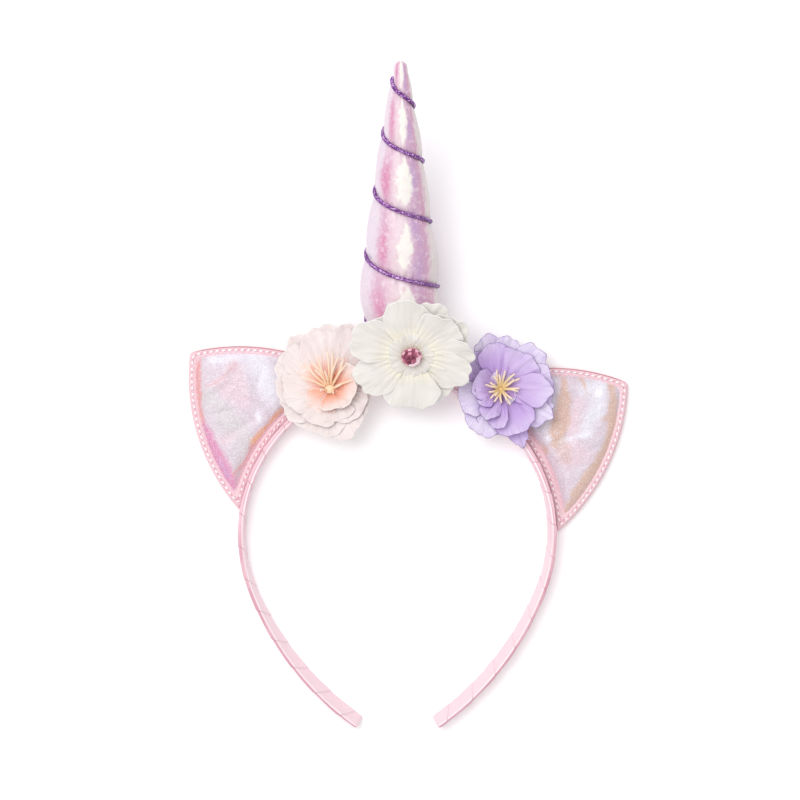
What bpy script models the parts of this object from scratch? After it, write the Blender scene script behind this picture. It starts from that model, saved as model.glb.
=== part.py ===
"""Unicorn horn headband, lying on a table as it lies by itself.

Metres. +X is the wearer's one side, +Y runs from the head to the horn's tip, and +Z is up from the table,
which is z = 0. The origin is on the table, under the middle of the band's wall at its crown.
"""

import math

import bmesh
import bpy
from mathutils import Matrix, Vector

# Clearance between pieces that touch on the real thing.
GAP = 0.0003

# Band: an arch and two straighter legs, standing on its lower edge. Both radii are its outer ones.
ARCH_RADIUS = 0.0638
ARCH_END = math.radians(111.2)
LEG_RADIUS = 0.1190
LEG_SWEEP = math.radians(33.8)
BAND_WIDTH = 0.0096
BAND_TIP_WIDTH = 0.0085
BAND_THICKNESS = 0.0028
BAND_TIP_THICKNESS = 0.0018
BAND_EDGE = 0.0005
ARCH_STEPS = 37
LEG_STEPS = 10
# The legs turn outward from a share of the half length on each side to this angle at their tips.
TIP_FLARE = math.radians(34)
FLARE_START = {"left": 0.50, "right": 0.24}

# Ears: two bowed sides on a base that follows the band. Angles are from +X about the arch's centre.
EAR_AXIS = {"left": math.radians(138.7), "right": math.radians(33.4)}
EAR_HALF_SPAN = math.radians(32)
EAR_REACH = 0.0463
EAR_BOW = 0.0070
EAR_CORNER = 0.0022
EAR_LIFT = 0.0016
EAR_BACK_THICKNESS = 0.0012
EAR_RIM = 0.0007
EAR_BORDER = 0.0035
EAR_BORDER_THICKNESS = 0.0012
EAR_PUFF = 0.0032
EAR_SIDE_STEPS = 8
# Rows: (share of the pad's slope in from the border, share of its rise).
EAR_PAD_WIDTH = 0.0065
EAR_PAD_ROWS = [(0.18, 0.45), (0.50, 0.82), (1.00, 1.00)]

# Horn: a stuffed cone on the crown's outer face, bent up off the table near its base.
HORN_LENGTH = 0.1250
HORN_RADIUS = 0.0160
HORN_SIDE = 0.0012
HORN_BASE_HEIGHT = 0.0112
HORN_LEAN = math.radians(17)
HORN_BEND_LENGTH = 0.0140
HORN_TIP_LENGTH = 0.0022
# Rows: (share of the length from the base, share of the largest radius).
HORN_PROFILE = [
    (0.00, 0.540),
    (0.06, 0.660),
    (0.12, 0.815),
    (0.18, 0.940),
    (0.25, 1.000),
    (0.36, 0.950),
    (0.48, 0.810),
    (0.60, 0.680),
    (0.72, 0.550),
    (0.79, 0.450),
    (0.85, 0.365),
    (0.91, 0.290),
    (0.96, 0.195),
    (1.00, 0.150),
]
HORN_SIDES = 20
HORN_SEAT_STEPS = 40

# Cord: wound round the horn in a groove, its turns closer together toward the tip.
CORD_RADIUS = 0.0011
CORD_TURNS = 5
CORD_PITCH_RATIO = 0.632
CORD_START_TURN = 0.20
CORD_END_TURN = 4.80
# How far the cord's centre line lies under the horn's crest, at the base and at the tip, where it stands proud.
CORD_SINK = 0.0009
CORD_TIP_SINK = -0.0002
GROOVE_LAND = 0.0014

# Flowers: layers of cloth petals, cupped, each layer above the last.
PETAL_THICKNESS = 0.0008
PETAL_SPACING = 0.0005
FLOWER_SECTORS = 30
FLOWER_FLAT = 0.0060
CALYX_RADIUS = 0.0045
CUP_POWER = 1.5
PETAL_WAVE = 0.0006
# A petal's outline drops to this share of its length at its two sides.
PETAL_SHOULDER = 0.62

# Each flower's place over the table, its tilt from flat toward the horn's tip, and its size.
WHITE_PLACE = (0.0055, 0.0103)
WHITE_TILT = math.radians(27)
WHITE_RADIUS = 0.0252
PEACH_PLACE = (-0.0268, -0.0046)
PEACH_TILT = math.radians(12)
PEACH_RADIUS = 0.0240
PURPLE_PLACE = (0.0408, -0.0043)
PURPLE_TILT = math.radians(4)
PURPLE_RADIUS = 0.0214
BACK_CUP = 0.0040
FRONT_CUP = 0.0065
HEART_CUP = 0.0048

# Rows of petals: (angle in degrees from +X, length as a share of the flower's radius, half width in degrees).
WHITE_BACK = [(62, 0.98, 34), (5, 0.97, 34), (310, 0.98, 32), (248, 0.95, 36), (128, 0.90, 34), (190, 0.72, 30)]
WHITE_FRONT = [(160, 1.00, 32), (100, 0.97, 30), (35, 0.88, 34), (342, 0.92, 32), (276, 0.92, 38), (220, 0.93, 32)]
WHITE_HEART = [(20, 0.38, 40), (80, 0.36, 40), (140, 0.40, 40), (200, 0.38, 40), (260, 0.40, 40), (320, 0.38, 40)]
PEACH_BACK = [
    (125, 1.06, 36),
    (78, 1.16, 34),
    (188, 0.88, 34),
    (228, 0.85, 30),
    (262, 0.78, 30),
    (298, 0.86, 32),
    (345, 0.66, 36),
    (40, 0.84, 32),
]
PEACH_FRONT = [
    (158, 0.84, 36),
    (98, 0.90, 38),
    (210, 0.68, 36),
    (262, 0.60, 36),
    (315, 0.64, 34),
    (10, 0.54, 36),
    (50, 0.76, 34),
]
PEACH_HEART = [(90, 0.46, 48), (162, 0.44, 48), (234, 0.40, 48), (306, 0.40, 48), (18, 0.42, 48)]
PURPLE_BACK = [
    (95, 0.98, 28),
    (72, 0.96, 26),
    (33, 1.00, 30),
    (350, 1.03, 28),
    (328, 1.00, 24),
    (291, 1.17, 13),
    (251, 0.95, 28),
    (226, 0.90, 30),
    (190, 0.84, 30),
    (140, 0.82, 34),
]
PURPLE_FRONT = [
    (100, 0.80, 34),
    (48, 0.86, 34),
    (354, 0.93, 30),
    (300, 0.90, 34),
    (248, 0.76, 34),
    (190, 0.62, 36),
    (140, 0.64, 36),
]
PURPLE_HEART = [(90, 0.42, 48), (162, 0.42, 48), (234, 0.42, 48), (306, 0.42, 48), (18, 0.42, 48)]

# Stamens: thin filaments that fan out of a small round hub.
STAMEN_HUB_RADIUS = 0.0022
STAMEN_HUB_HEIGHT = 0.0011
STAMEN_INSET = 0.0002
STAMEN_TIP_SCALE = 0.7
PEACH_STAMENS = 14
PEACH_STAMEN_LENGTH = 0.0085
PEACH_STAMEN_RISE = math.radians(50)
PURPLE_STAMENS = 18
PURPLE_STAMEN_LENGTH = 0.0068
PURPLE_STAMEN_RISE = math.radians(46)

# Rhinestone: a flat-backed round stone with an octagonal table.
STONE_RADIUS = 0.00415
STONE_HEIGHT = 0.0030
STONE_GIRDLE = 0.0008
STONE_FACETS = 8

# Colours as red, green, blue in 0 to 1, then roughness and metallic.
FINISHES = {
    "ribbon": ((0.93, 0.70, 0.76), 0.35, 0.0),
    "ear_cloth": ((0.84, 0.78, 0.86), 0.30, 0.3),
    "ear_backing": ((0.80, 0.42, 0.48), 0.60, 0.0),
    "horn_cloth": ((0.80, 0.58, 0.76), 0.28, 0.3),
    "cord": ((0.22, 0.05, 0.32), 0.30, 0.6),
    "peach_petal": ((0.92, 0.76, 0.72), 0.80, 0.0),
    "white_petal": ((0.90, 0.88, 0.78), 0.80, 0.0),
    "purple_petal": ((0.60, 0.48, 0.82), 0.80, 0.0),
    "stamen": ((0.93, 0.72, 0.45), 0.60, 0.0),
    "stone": ((0.75, 0.30, 0.42), 0.08, 0.0),
}


def remove_everything():
    for obj in list(bpy.data.objects):
        bpy.data.objects.remove(obj)


def make_material(name):
    colour, roughness, metallic = FINISHES[name]
    material = bpy.data.materials.new(name)
    material.use_nodes = True
    shader = material.node_tree.nodes["Principled BSDF"]
    shader.inputs["Base Color"].default_value = (*colour, 1)
    shader.inputs["Roughness"].default_value = roughness
    shader.inputs["Metallic"].default_value = metallic
    return material


def add_object(name, mesh_builder, material, parent=None):
    """Makes an object of a bmesh, with its faces pointing out and its shallow edges shaded smooth."""
    bmesh.ops.recalc_face_normals(mesh_builder, faces=mesh_builder.faces)
    mesh = bpy.data.meshes.new(name)
    mesh_builder.to_mesh(mesh)
    mesh_builder.free()
    mesh.shade_smooth()
    mesh.set_sharp_from_angle(angle=math.radians(40))
    mesh.materials.append(material)
    obj = bpy.data.objects.new(name, mesh)
    bpy.context.scene.collection.objects.link(obj)
    obj.parent = parent
    return obj


def loft(loops):
    """A closed solid through loops of equal count, with a flat face over the first and the last."""
    solid = bmesh.new()
    rings = [[solid.verts.new(point) for point in loop] for loop in loops]
    for lower, upper in zip(rings, rings[1:]):
        for i, start in enumerate(lower):
            after = (i + 1) % len(lower)
            solid.faces.new((start, lower[after], upper[after], upper[i]))
    solid.faces.new(rings[0])
    solid.faces.new(rings[-1])
    return solid


def ease(share):
    """A smooth step from 0 to 1."""
    share = min(max(share, 0.0), 1.0)
    return share * share * (3 - 2 * share)


def read_table(rows, at):
    """The second column at a place in the first, on a curve that is smooth through the rows."""
    for before, after in zip(rows, rows[1:]):
        if at <= after[0]:
            break
    index = rows.index(before)
    first = rows[max(index - 1, 0)]
    last = rows[min(index + 2, len(rows) - 1)]
    width = after[0] - before[0]
    share = min(max((at - before[0]) / width, 0.0), 1.0)
    leave = (after[1] - first[1]) / (after[0] - first[0]) * width
    arrive = (last[1] - before[1]) / (last[0] - before[0]) * width
    square, cube = share**2, share**3
    return (
        (2 * cube - 3 * square + 1) * before[1]
        + (cube - 2 * square + share) * leave
        + (3 * square - 2 * cube) * after[1]
        + (cube - square) * arrive
    )


# Band

ARCH_CENTRE = Vector((0, BAND_THICKNESS / 2 - ARCH_RADIUS, 0))
ARCH_LENGTH = ARCH_RADIUS * ARCH_END
HALF_LENGTH = ARCH_LENGTH + LEG_RADIUS * LEG_SWEEP


def band_edge(travel):
    """Where the band's outer face is, at a signed distance round from the crown, and which way is out."""
    side = math.copysign(1, travel)
    distance = abs(travel)
    angle = min(distance, ARCH_LENGTH) / ARCH_RADIUS
    out = Vector((side * math.sin(angle), math.cos(angle), 0))
    place = ARCH_CENTRE + ARCH_RADIUS * out
    if distance > ARCH_LENGTH:
        leg_centre = place - LEG_RADIUS * out
        angle = ARCH_END + (distance - ARCH_LENGTH) / LEG_RADIUS
        out = Vector((side * math.sin(angle), math.cos(angle), 0))
        place = leg_centre + LEG_RADIUS * out
    return place, out


def band_section(travel, inset=0.0):
    """The band's section there: an upright strip with small edges cut off, turned outward toward the tips."""
    place, out = band_edge(travel)
    along = abs(travel) / HALF_LENGTH
    start = FLARE_START["right" if travel > 0 else "left"]
    flare = TIP_FLARE * ease((along - start) / (1 - start))
    taper = ease((along - min(FLARE_START.values())) / (1 - min(FLARE_START.values())))
    width = BAND_WIDTH + (BAND_TIP_WIDTH - BAND_WIDTH) * taper - inset
    thickness = BAND_THICKNESS + (BAND_TIP_THICKNESS - BAND_THICKNESS) * taper - inset
    across = out * math.cos(flare) - Vector((0, 0, math.sin(flare)))
    up = out * math.sin(flare) + Vector((0, 0, math.cos(flare)))
    corners = [
        (-BAND_EDGE, 0),
        (0, -BAND_EDGE),
        (0, BAND_EDGE - width),
        (-BAND_EDGE, -width),
        (BAND_EDGE - thickness, -width),
        (-thickness, BAND_EDGE - width),
        (-thickness, -BAND_EDGE),
        (BAND_EDGE - thickness, 0),
    ]
    loop = [place + across * (a - inset / 2) + up * b for a, b in corners]
    lowest = min(point.z for point in loop)
    return [point - Vector((0, 0, lowest - inset / 2)) for point in loop]


def make_headband(material):
    arch_step = 2 * ARCH_LENGTH / ARCH_STEPS
    arch = [arch_step * (i - ARCH_STEPS / 2) for i in range(ARCH_STEPS + 1)]
    leg_step = LEG_RADIUS * LEG_SWEEP / LEG_STEPS
    right_leg = [ARCH_LENGTH + leg_step * (i + 1) for i in range(LEG_STEPS)]
    left_leg = [-travel for travel in reversed(right_leg)]
    loops = [band_section(travel) for travel in left_leg + arch + right_leg]
    end = HALF_LENGTH + BAND_EDGE
    loops.insert(0, band_section(-end, BAND_EDGE))
    loops.append(band_section(end, BAND_EDGE))
    return add_object("headband", loft(loops), material)


# Ears

EAR_SEAT = ARCH_RADIUS + GAP
EAR_APEX = ARCH_RADIUS + EAR_REACH
EAR_FACE_HEIGHT = EAR_LIFT + EAR_BACK_THICKNESS + GAP
EAR_TOP = EAR_FACE_HEIGHT + EAR_BORDER_THICKNESS + EAR_PUFF


def crossing(centre, radius, base_radius):
    """Where a circle about centre crosses one about the arch's centre, on the side of +v."""
    distance = centre.length
    along = (distance**2 + base_radius**2 - radius**2) / (2 * distance)
    off = math.sqrt(base_radius**2 - along**2)
    unit = centre / distance
    ends = [along * unit + off * Vector((-unit.y, unit.x)), along * unit - off * Vector((-unit.y, unit.x))]
    return max(ends, key=lambda point: point.y)


def arc(centre, start, end, trim):
    """Points along the short arc from start to end about centre, leaving trim of it off at both ends."""
    radius = (start - centre).length
    first = math.atan2(start.y - centre.y, start.x - centre.x)
    turn = math.atan2(end.y - centre.y, end.x - centre.x) - first
    turn = (turn + math.pi) % (2 * math.pi) - math.pi
    cut = math.copysign(trim / radius, turn)
    points = []
    for i in range(EAR_SIDE_STEPS + 1):
        angle = first + cut + (turn - 2 * cut) * i / EAR_SIDE_STEPS
        points.append(centre + radius * Vector((math.cos(angle), math.sin(angle))))
    return points


def ear_side():
    """The centre and the radius of an ear's upper side, in the ear's own frame, where +u runs to its apex."""
    base = EAR_SEAT * Vector((math.cos(EAR_HALF_SPAN), math.sin(EAR_HALF_SPAN)))
    apex = Vector((EAR_APEX, 0))
    chord = apex - base
    radius = chord.length**2 / (8 * EAR_BOW) + EAR_BOW / 2
    inward = Vector((chord.y, -chord.x)).normalized()
    return (base + apex) / 2 + inward * (radius - EAR_BOW), radius


def ear_height(side, place):
    """How high the ear's padded front is at a place over the table."""
    own = Matrix.Rotation(-EAR_AXIS[side], 2) @ (place - ARCH_CENTRE.xy)
    centre, radius = ear_side()
    from_side = radius - (Vector((own.x, abs(own.y))) - centre).length
    share = (min(from_side, own.length - EAR_SEAT) - EAR_BORDER) / EAR_PAD_WIDTH
    rows = [(0.0, 0.0), *EAR_PAD_ROWS]
    rise = max(0.0, min(1.0, share))
    for (start, low), (end, high) in zip(rows, rows[1:]):
        if start <= share <= end:
            rise = low + (high - low) * (share - start) / (end - start)
    return EAR_FACE_HEIGHT + EAR_BORDER_THICKNESS + rise * EAR_PUFF


def ear_loop(side, inset, base_inset, corner, height):
    """The ear's outline, moved in by inset: two bowed sides and the base, its three corners rounded."""
    centre, radius = ear_side()
    radius -= inset
    foot = crossing(centre, radius, EAR_SEAT + base_inset)
    tip = Vector((centre.x + math.sqrt(radius**2 - centre.y**2), 0))
    upper = arc(centre, foot, tip, corner)
    lower = [Vector((point.x, -point.y)) for point in reversed(upper)]
    floor = arc(Vector((0, 0)), Vector((foot.x, -foot.y)), foot, corner)
    flat = []
    for run, ending in ((upper, tip), (lower, Vector((foot.x, -foot.y))), (floor, foot)):
        flat += run
        flat.append(ending)
    for i, point in enumerate(flat):
        if point in (tip, foot, Vector((foot.x, -foot.y))):
            beside = flat[i - 1] + flat[(i + 1) % len(flat)]
            flat[i] = point / 2 + beside / 4
    turn = Matrix.Rotation(EAR_AXIS[side], 2)
    placed = [ARCH_CENTRE.xy + turn @ point for point in flat]
    return [Vector((point.x, point.y, height)) for point in placed]


def make_ear(side, cloth, backing):
    """The padded front with its flat border, and the backing that shows as a rim round it."""
    top = EAR_LIFT + EAR_BACK_THICKNESS
    back = [ear_loop(side, -EAR_RIM, 0, EAR_CORNER, height) for height in (EAR_LIFT, top)]
    add_object(f"{side}_ear_back", loft(back), backing)
    border_top = EAR_FACE_HEIGHT + EAR_BORDER_THICKNESS
    corner = EAR_CORNER / 2
    face = [ear_loop(side, 0, 0, EAR_CORNER, EAR_FACE_HEIGHT), ear_loop(side, 0, 0, EAR_CORNER, border_top)]
    face.append(ear_loop(side, EAR_BORDER, EAR_BORDER, corner, border_top))
    for inward, rise in EAR_PAD_ROWS:
        inset = EAR_BORDER + inward * EAR_PAD_WIDTH
        face.append(ear_loop(side, inset, inset, corner, border_top + rise * EAR_PUFF))
    add_object(f"{side}_ear_face", loft(face), cloth)


# Horn and its cord

HORN_BODY = HORN_LENGTH - HORN_TIP_LENGTH
PITCH_AT_BASE = 2 * HORN_BODY / (CORD_TURNS * (1 + CORD_PITCH_RATIO))
HORN_START = Vector((HORN_SIDE, BAND_THICKNESS / 2 + GAP, HORN_BASE_HEIGHT))


def horn_frame(travel):
    """A point of the horn's centre line and the direction there: an arc up off the table, then straight."""
    bend_radius = HORN_BEND_LENGTH / HORN_LEAN
    angle = min(travel, HORN_BEND_LENGTH) / bend_radius
    bent = Vector((0, math.sin(angle), 1 - math.cos(angle))) * bend_radius
    forward = Vector((0, math.cos(angle), math.sin(angle)))
    return HORN_START + bent + forward * max(travel - HORN_BEND_LENGTH, 0), forward


def horn_crest(travel):
    """The horn's radius at the fullest part of a puff."""
    return HORN_RADIUS * read_table(HORN_PROFILE, travel / HORN_LENGTH)


def cord_sink(travel):
    """How far the cord's centre line is under the crest there."""
    return CORD_SINK + (CORD_TIP_SINK - CORD_SINK) * travel / HORN_BODY


def groove_travel(turns):
    """How far from the base the groove is after some turns. Its pitch falls evenly toward the tip."""
    fall = (1 - CORD_PITCH_RATIO) / (2 * CORD_TURNS)
    return PITCH_AT_BASE * (turns - fall * turns**2)


def horn_point(turns, travel, radius):
    """A point round the horn. Turn 0 is on its underside, and later turns go round by +X, up and over."""
    centre, forward = horn_frame(travel)
    angle = 2 * math.pi * turns - math.pi / 2
    up = Vector((1, 0, 0)).cross(forward)
    return centre + radius * (math.cos(angle) * Vector((1, 0, 0)) + math.sin(angle) * up)


def puff_radius(turns, travel):
    """The horn's radius between two turns of the groove, which is at the table's crest less its depth."""
    last = groove_travel(max(turns - 1, 0)) if turns > 0 else 0.0
    following = groove_travel(min(turns, CORD_TURNS))
    land = min(GROOVE_LAND, (following - last) / 4)
    room = following - last - 2 * land
    share = min(max((travel - last - land) / room, 0.0), 1.0) if room > 0 else 0.0
    fade = ease(travel / groove_travel(CORD_START_TURN))
    fade *= ease((HORN_BODY - travel) / (HORN_BODY - groove_travel(CORD_END_TURN)))
    depth = cord_sink(travel) + CORD_RADIUS + GAP
    dent = depth * (1 - math.sin(math.pi * share) ** 0.6) * fade
    return horn_crest(travel) - dent


def make_horn(material):
    """A spiral strip, one row of quads for each share of the way from a turn of the groove to the next."""
    rows = [0.0, None, 0.16, 0.40, 0.62, 0.84, None]
    solid = bmesh.new()

    def column(step):
        turns = step / HORN_SIDES
        last = groove_travel(turns - 1) if turns > 1 else 0.0
        following = groove_travel(min(turns, CORD_TURNS))
        land = min(GROOVE_LAND, (following - last) / 4)
        room = following - last - 2 * land
        places = [last]
        places += [last + land + (room * row if row else 0) for row in rows[1:-1]]
        places += [following - land, following]
        return [solid.verts.new(horn_point(turns, place, puff_radius(turns, place))) for place in places]

    columns = [column(step) for step in range(HORN_SIDES * (CORD_TURNS + 1) + 1)]
    for before, after in zip(columns, columns[1:]):
        for i in range(len(before) - 1):
            solid.faces.new((before[i], after[i], after[i + 1], before[i + 1]))
    bmesh.ops.remove_doubles(solid, verts=solid.verts, dist=1e-6)
    solid.faces.new(sorted_rim(solid, lowest=True))
    rim = sorted_rim(solid, lowest=False)
    for share in (0.45, 0.80, 0.96):
        rim = close_tip(solid, rim, share)
    solid.faces.new(rim)
    return add_object("horn", solid, material)


def sorted_rim(solid, lowest):
    """The open edge at the horn's base or at its tip, in order round the horn."""
    edges = {edge for edge in solid.edges if edge.is_boundary}
    middle = HORN_START.y + HORN_LENGTH / 2
    edges = {edge for edge in edges if (edge.verts[0].co.y < middle) == lowest}
    edge = edges.pop()
    loop = [edge.verts[0], edge.verts[1]]
    while edges:
        edge = next(found for found in edges if loop[-1] in found.verts)
        edges.remove(edge)
        loop.append(edge.other_vert(loop[-1]))
    return loop[:-1]


def close_tip(solid, rim, share):
    """One more ring on the rounded tip, at a share of the tip's length past the end of the last turn."""
    centre, forward = horn_frame(HORN_BODY + HORN_TIP_LENGTH * share)
    up = Vector((1, 0, 0)).cross(forward)
    radius = horn_crest(HORN_BODY) * math.sqrt(1 - share**2)
    start = horn_frame(HORN_BODY)[0]
    ring = []
    for vert in rim:
        away = vert.co - start
        angle = math.atan2(away.dot(up), away.dot(Vector((1, 0, 0))))
        ring.append(solid.verts.new(centre + radius * (math.cos(angle) * Vector((1, 0, 0)) + math.sin(angle) * up)))
    for i, vert in enumerate(rim):
        after = (i + 1) % len(rim)
        solid.faces.new((vert, rim[after], ring[after], ring[i]))
    return ring


def make_cord(material):
    """A tube along the groove's floor, a cord's radius and a clearance above it."""
    first = round(CORD_START_TURN * HORN_SIDES)
    last = round(CORD_END_TURN * HORN_SIDES)
    curve = bpy.data.curves.new("horn_cord", "CURVE")
    curve.dimensions = "3D"
    curve.bevel_depth = CORD_RADIUS
    curve.bevel_resolution = 1
    curve.use_fill_caps = True
    curve.twist_mode = "MINIMUM"
    spline = curve.splines.new("POLY")
    spline.points.add(last - first)
    for i, step in enumerate(range(first, last + 1)):
        turns = step / HORN_SIDES
        travel = groove_travel(turns)
        radius = horn_crest(travel) - cord_sink(travel)
        spline.points[i].co = (*horn_point(turns, travel, radius), 1)
    curve.materials.append(material)
    cord = bpy.data.objects.new("horn_cord", curve)
    bpy.context.scene.collection.objects.link(cord)
    return cord


# Flowers


def petal_reach(petals, radius, angle):
    """How far a layer of petals reaches at an angle: the longest petal there, each with a round end."""
    reach = 0.0
    for at, length, half_width in petals:
        off = (math.degrees(angle) - at + 180) % 360 - 180
        share = min(abs(off) / half_width, 1.0)
        reach = max(reach, radius * length * (1 - (1 - PETAL_SHOULDER) * share**3))
    return reach


def make_petals(name, petals, radius, cup, level, calyx, material, parent):
    """One layer of petals: flat at its middle, rising as a cup, with a calyx of some depth under it."""
    solid = bmesh.new()

    def surface(at, angle, height):
        rise = max(at - FLOWER_FLAT, 0) / (radius - FLOWER_FLAT)
        wave = PETAL_WAVE * math.sin(5 * angle + 1) * rise
        return Vector((at * math.cos(angle), at * math.sin(angle), height + cup * rise**CUP_POWER + wave))

    upper_rings = []
    lower_rings = []
    angles = [2 * math.pi * i / FLOWER_SECTORS for i in range(FLOWER_SECTORS)]
    flat = min(FLOWER_FLAT, *(petal_reach(petals, radius, angle) * 0.8 for angle in angles))
    for share in (0.0, 0.5, 1.0):
        reach = [flat + (petal_reach(petals, radius, angle) - flat) * share for angle in angles]
        upper = [surface(at, angle, level + PETAL_THICKNESS) for at, angle in zip(reach, angles)]
        lower = [surface(at, angle, level) for at, angle in zip(reach, angles)]
        upper_rings.append([solid.verts.new(point) for point in upper])
        lower_rings.append([solid.verts.new(point) for point in lower])
    calyx_ring = [
        solid.verts.new((CALYX_RADIUS * math.cos(angle), CALYX_RADIUS * math.sin(angle), level - calyx))
        for angle in angles
    ]
    shell = [calyx_ring, *lower_rings, *reversed(upper_rings)] if calyx else [*lower_rings, *reversed(upper_rings)]
    for before, after in zip(shell, shell[1:]):
        for i, vert in enumerate(before):
            following = (i + 1) % FLOWER_SECTORS
            solid.faces.new((vert, before[following], after[following], after[i]))
    solid.faces.new(shell[0])
    solid.faces.new(shell[-1])
    if not calyx:
        bmesh.ops.delete(solid, geom=calyx_ring, context="VERTS")
    return add_object(name, solid, material, parent)


def make_stamens(name, count, length, rise, level, material, parent):
    """Filaments drawn out of the sides of a small round hub, one from each side face."""
    solid = bmesh.new()
    bmesh.ops.create_cone(
        solid,
        cap_ends=True,
        segments=count,
        radius1=STAMEN_HUB_RADIUS,
        radius2=STAMEN_HUB_RADIUS,
        depth=STAMEN_HUB_HEIGHT,
        matrix=Matrix.Translation((0, 0, level + STAMEN_HUB_HEIGHT / 2)),
    )
    sides = [face for face in solid.faces if len(face.verts) == 4 and abs(face.normal.z) < 0.5]
    bmesh.ops.inset_individual(solid, faces=sides, thickness=STAMEN_INSET)
    drawn = bmesh.ops.extrude_discrete_faces(solid, faces=sides)["faces"]
    for face in drawn:
        middle = face.calc_center_median()
        out = Vector((middle.x, middle.y, 0)).normalized()
        travel = out * math.cos(rise) + Vector((0, 0, math.sin(rise)))
        for vert in face.verts:
            vert.co = middle + (vert.co - middle) * STAMEN_TIP_SCALE + travel * length
    return add_object(name, solid, material, parent)


def make_stone(level, material, parent):
    """A round flat-backed stone: an octagonal table, eight main facets and a ring of facets to the girdle."""
    solid = bmesh.new()
    rings = [
        (STONE_FACETS * 2, STONE_RADIUS * 0.94, 0.0, 0.0),
        (STONE_FACETS * 2, STONE_RADIUS, STONE_GIRDLE, 0.0),
        (STONE_FACETS, STONE_RADIUS * 0.80, STONE_GIRDLE + (STONE_HEIGHT - STONE_GIRDLE) * 0.62, 0.0),
        (STONE_FACETS, STONE_RADIUS * 0.50, STONE_HEIGHT, 0.5),
    ]
    for count, radius, height, turn in rings:
        for i in range(count):
            angle = 2 * math.pi * (i + turn) / count
            solid.verts.new((radius * math.cos(angle), radius * math.sin(angle), level + height))
    bmesh.ops.convex_hull(solid, input=solid.verts)
    bmesh.ops.dissolve_limit(solid, angle_limit=math.radians(1), verts=solid.verts, edges=solid.edges)
    stone = add_object("rhinestone", solid, material, parent)
    stone.data.shade_flat()
    return stone


def place_flower(name, place, height, tilt):
    """An empty at the middle of the underside of a flower's lowest layer."""
    empty = bpy.data.objects.new(name, None)
    empty.location = (*place, height)
    empty.rotation_euler = (-tilt, 0, 0)
    bpy.context.scene.collection.objects.link(empty)
    return empty


LAYER_STEP = PETAL_THICKNESS + PETAL_SPACING
HEART_LEVEL = 2 * LAYER_STEP
CENTRE_LEVEL = HEART_LEVEL + PETAL_THICKNESS + GAP


def make_flower(colour, tables, radius, calyx, material, empty):
    """The three layers of one flower, from the back one up."""
    back, front, heart = tables
    make_petals(f"{colour}_back_petals", back, radius, BACK_CUP, 0, calyx, material, empty)
    make_petals(f"{colour}_front_petals", front, radius, FRONT_CUP, LAYER_STEP, 0, material, empty)
    heart_cup = HEART_CUP * radius / WHITE_RADIUS * 4
    make_petals(f"{colour}_heart_petals", heart, radius, heart_cup, HEART_LEVEL, 0, material, empty)


def make_white_flower(petal, stone):
    """It lies on the horn's upper side, tilted as the horn rises. Its calyx fills what space is left there."""
    under_petals = []
    under_calyx = []
    for step in range(HORN_SEAT_STEPS):
        travel = 2 * WHITE_RADIUS * step / HORN_SEAT_STEPS
        centre, forward = horn_frame(travel)
        crest = centre + horn_crest(travel) * Vector((1, 0, 0)).cross(forward)
        off = crest.y - WHITE_PLACE[1]
        height = crest.z - off * math.tan(WHITE_TILT)
        rise = max(abs(off) / math.cos(WHITE_TILT) - FLOWER_FLAT, 0) / (WHITE_RADIUS - FLOWER_FLAT)
        under_petals.append(height - BACK_CUP * rise**CUP_POWER)
        if abs(off) < CALYX_RADIUS:
            under_calyx.append(height)
    height = max(under_petals) + GAP / math.cos(WHITE_TILT) + PETAL_WAVE
    calyx = (height - max(under_calyx)) * math.cos(WHITE_TILT) - GAP
    empty = place_flower("white_flower", WHITE_PLACE, height, -WHITE_TILT)
    make_flower("white", (WHITE_BACK, WHITE_FRONT, WHITE_HEART), WHITE_RADIUS, calyx, petal, empty)
    make_stone(CENTRE_LEVEL, stone, empty)


def make_peach_flower(petal, stamen):
    """Its calyx is on the band's upper edge."""
    height = BAND_WIDTH + GAP + FLOWER_FLAT * math.sin(PEACH_TILT)
    calyx = (FLOWER_FLAT - CALYX_RADIUS) * math.tan(PEACH_TILT)
    empty = place_flower("peach_flower", PEACH_PLACE, height, PEACH_TILT)
    make_flower("peach", (PEACH_BACK, PEACH_FRONT, PEACH_HEART), PEACH_RADIUS, calyx, petal, empty)
    make_stamens("peach_stamens", PEACH_STAMENS, PEACH_STAMEN_LENGTH, PEACH_STAMEN_RISE, CENTRE_LEVEL, stamen, empty)


def make_purple_flower(petal, stamen):
    """Its calyx is on the right ear's pad and its petals clear the band's upper edge beside it."""
    height = max(BAND_WIDTH, EAR_TOP) + GAP + PURPLE_RADIUS * math.sin(PURPLE_TILT) / 2
    clearances = []
    for step in range(FLOWER_SECTORS):
        angle = 2 * math.pi * step / FLOWER_SECTORS
        off = CALYX_RADIUS * Vector((math.cos(angle), math.sin(angle)))
        under = ear_height("right", Vector(PURPLE_PLACE) + off)
        clearances.append(height - off.y * math.tan(PURPLE_TILT) - under)
    calyx = min(clearances) - GAP
    empty = place_flower("purple_flower", PURPLE_PLACE, height, PURPLE_TILT)
    make_flower("purple", (PURPLE_BACK, PURPLE_FRONT, PURPLE_HEART), PURPLE_RADIUS, calyx, petal, empty)
    make_stamens(
        "purple_stamens", PURPLE_STAMENS, PURPLE_STAMEN_LENGTH, PURPLE_STAMEN_RISE, CENTRE_LEVEL, stamen, empty
    )


remove_everything()
finish = {name: make_material(name) for name in FINISHES}
make_headband(finish["ribbon"])
for side in EAR_AXIS:
    make_ear(side, finish["ear_cloth"], finish["ear_backing"])
make_horn(finish["horn_cloth"])
make_cord(finish["cord"])
make_white_flower(finish["white_petal"], finish["stone"])
make_peach_flower(finish["peach_petal"], finish["stamen"])
make_purple_flower(finish["purple_petal"], finish["stamen"])
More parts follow.
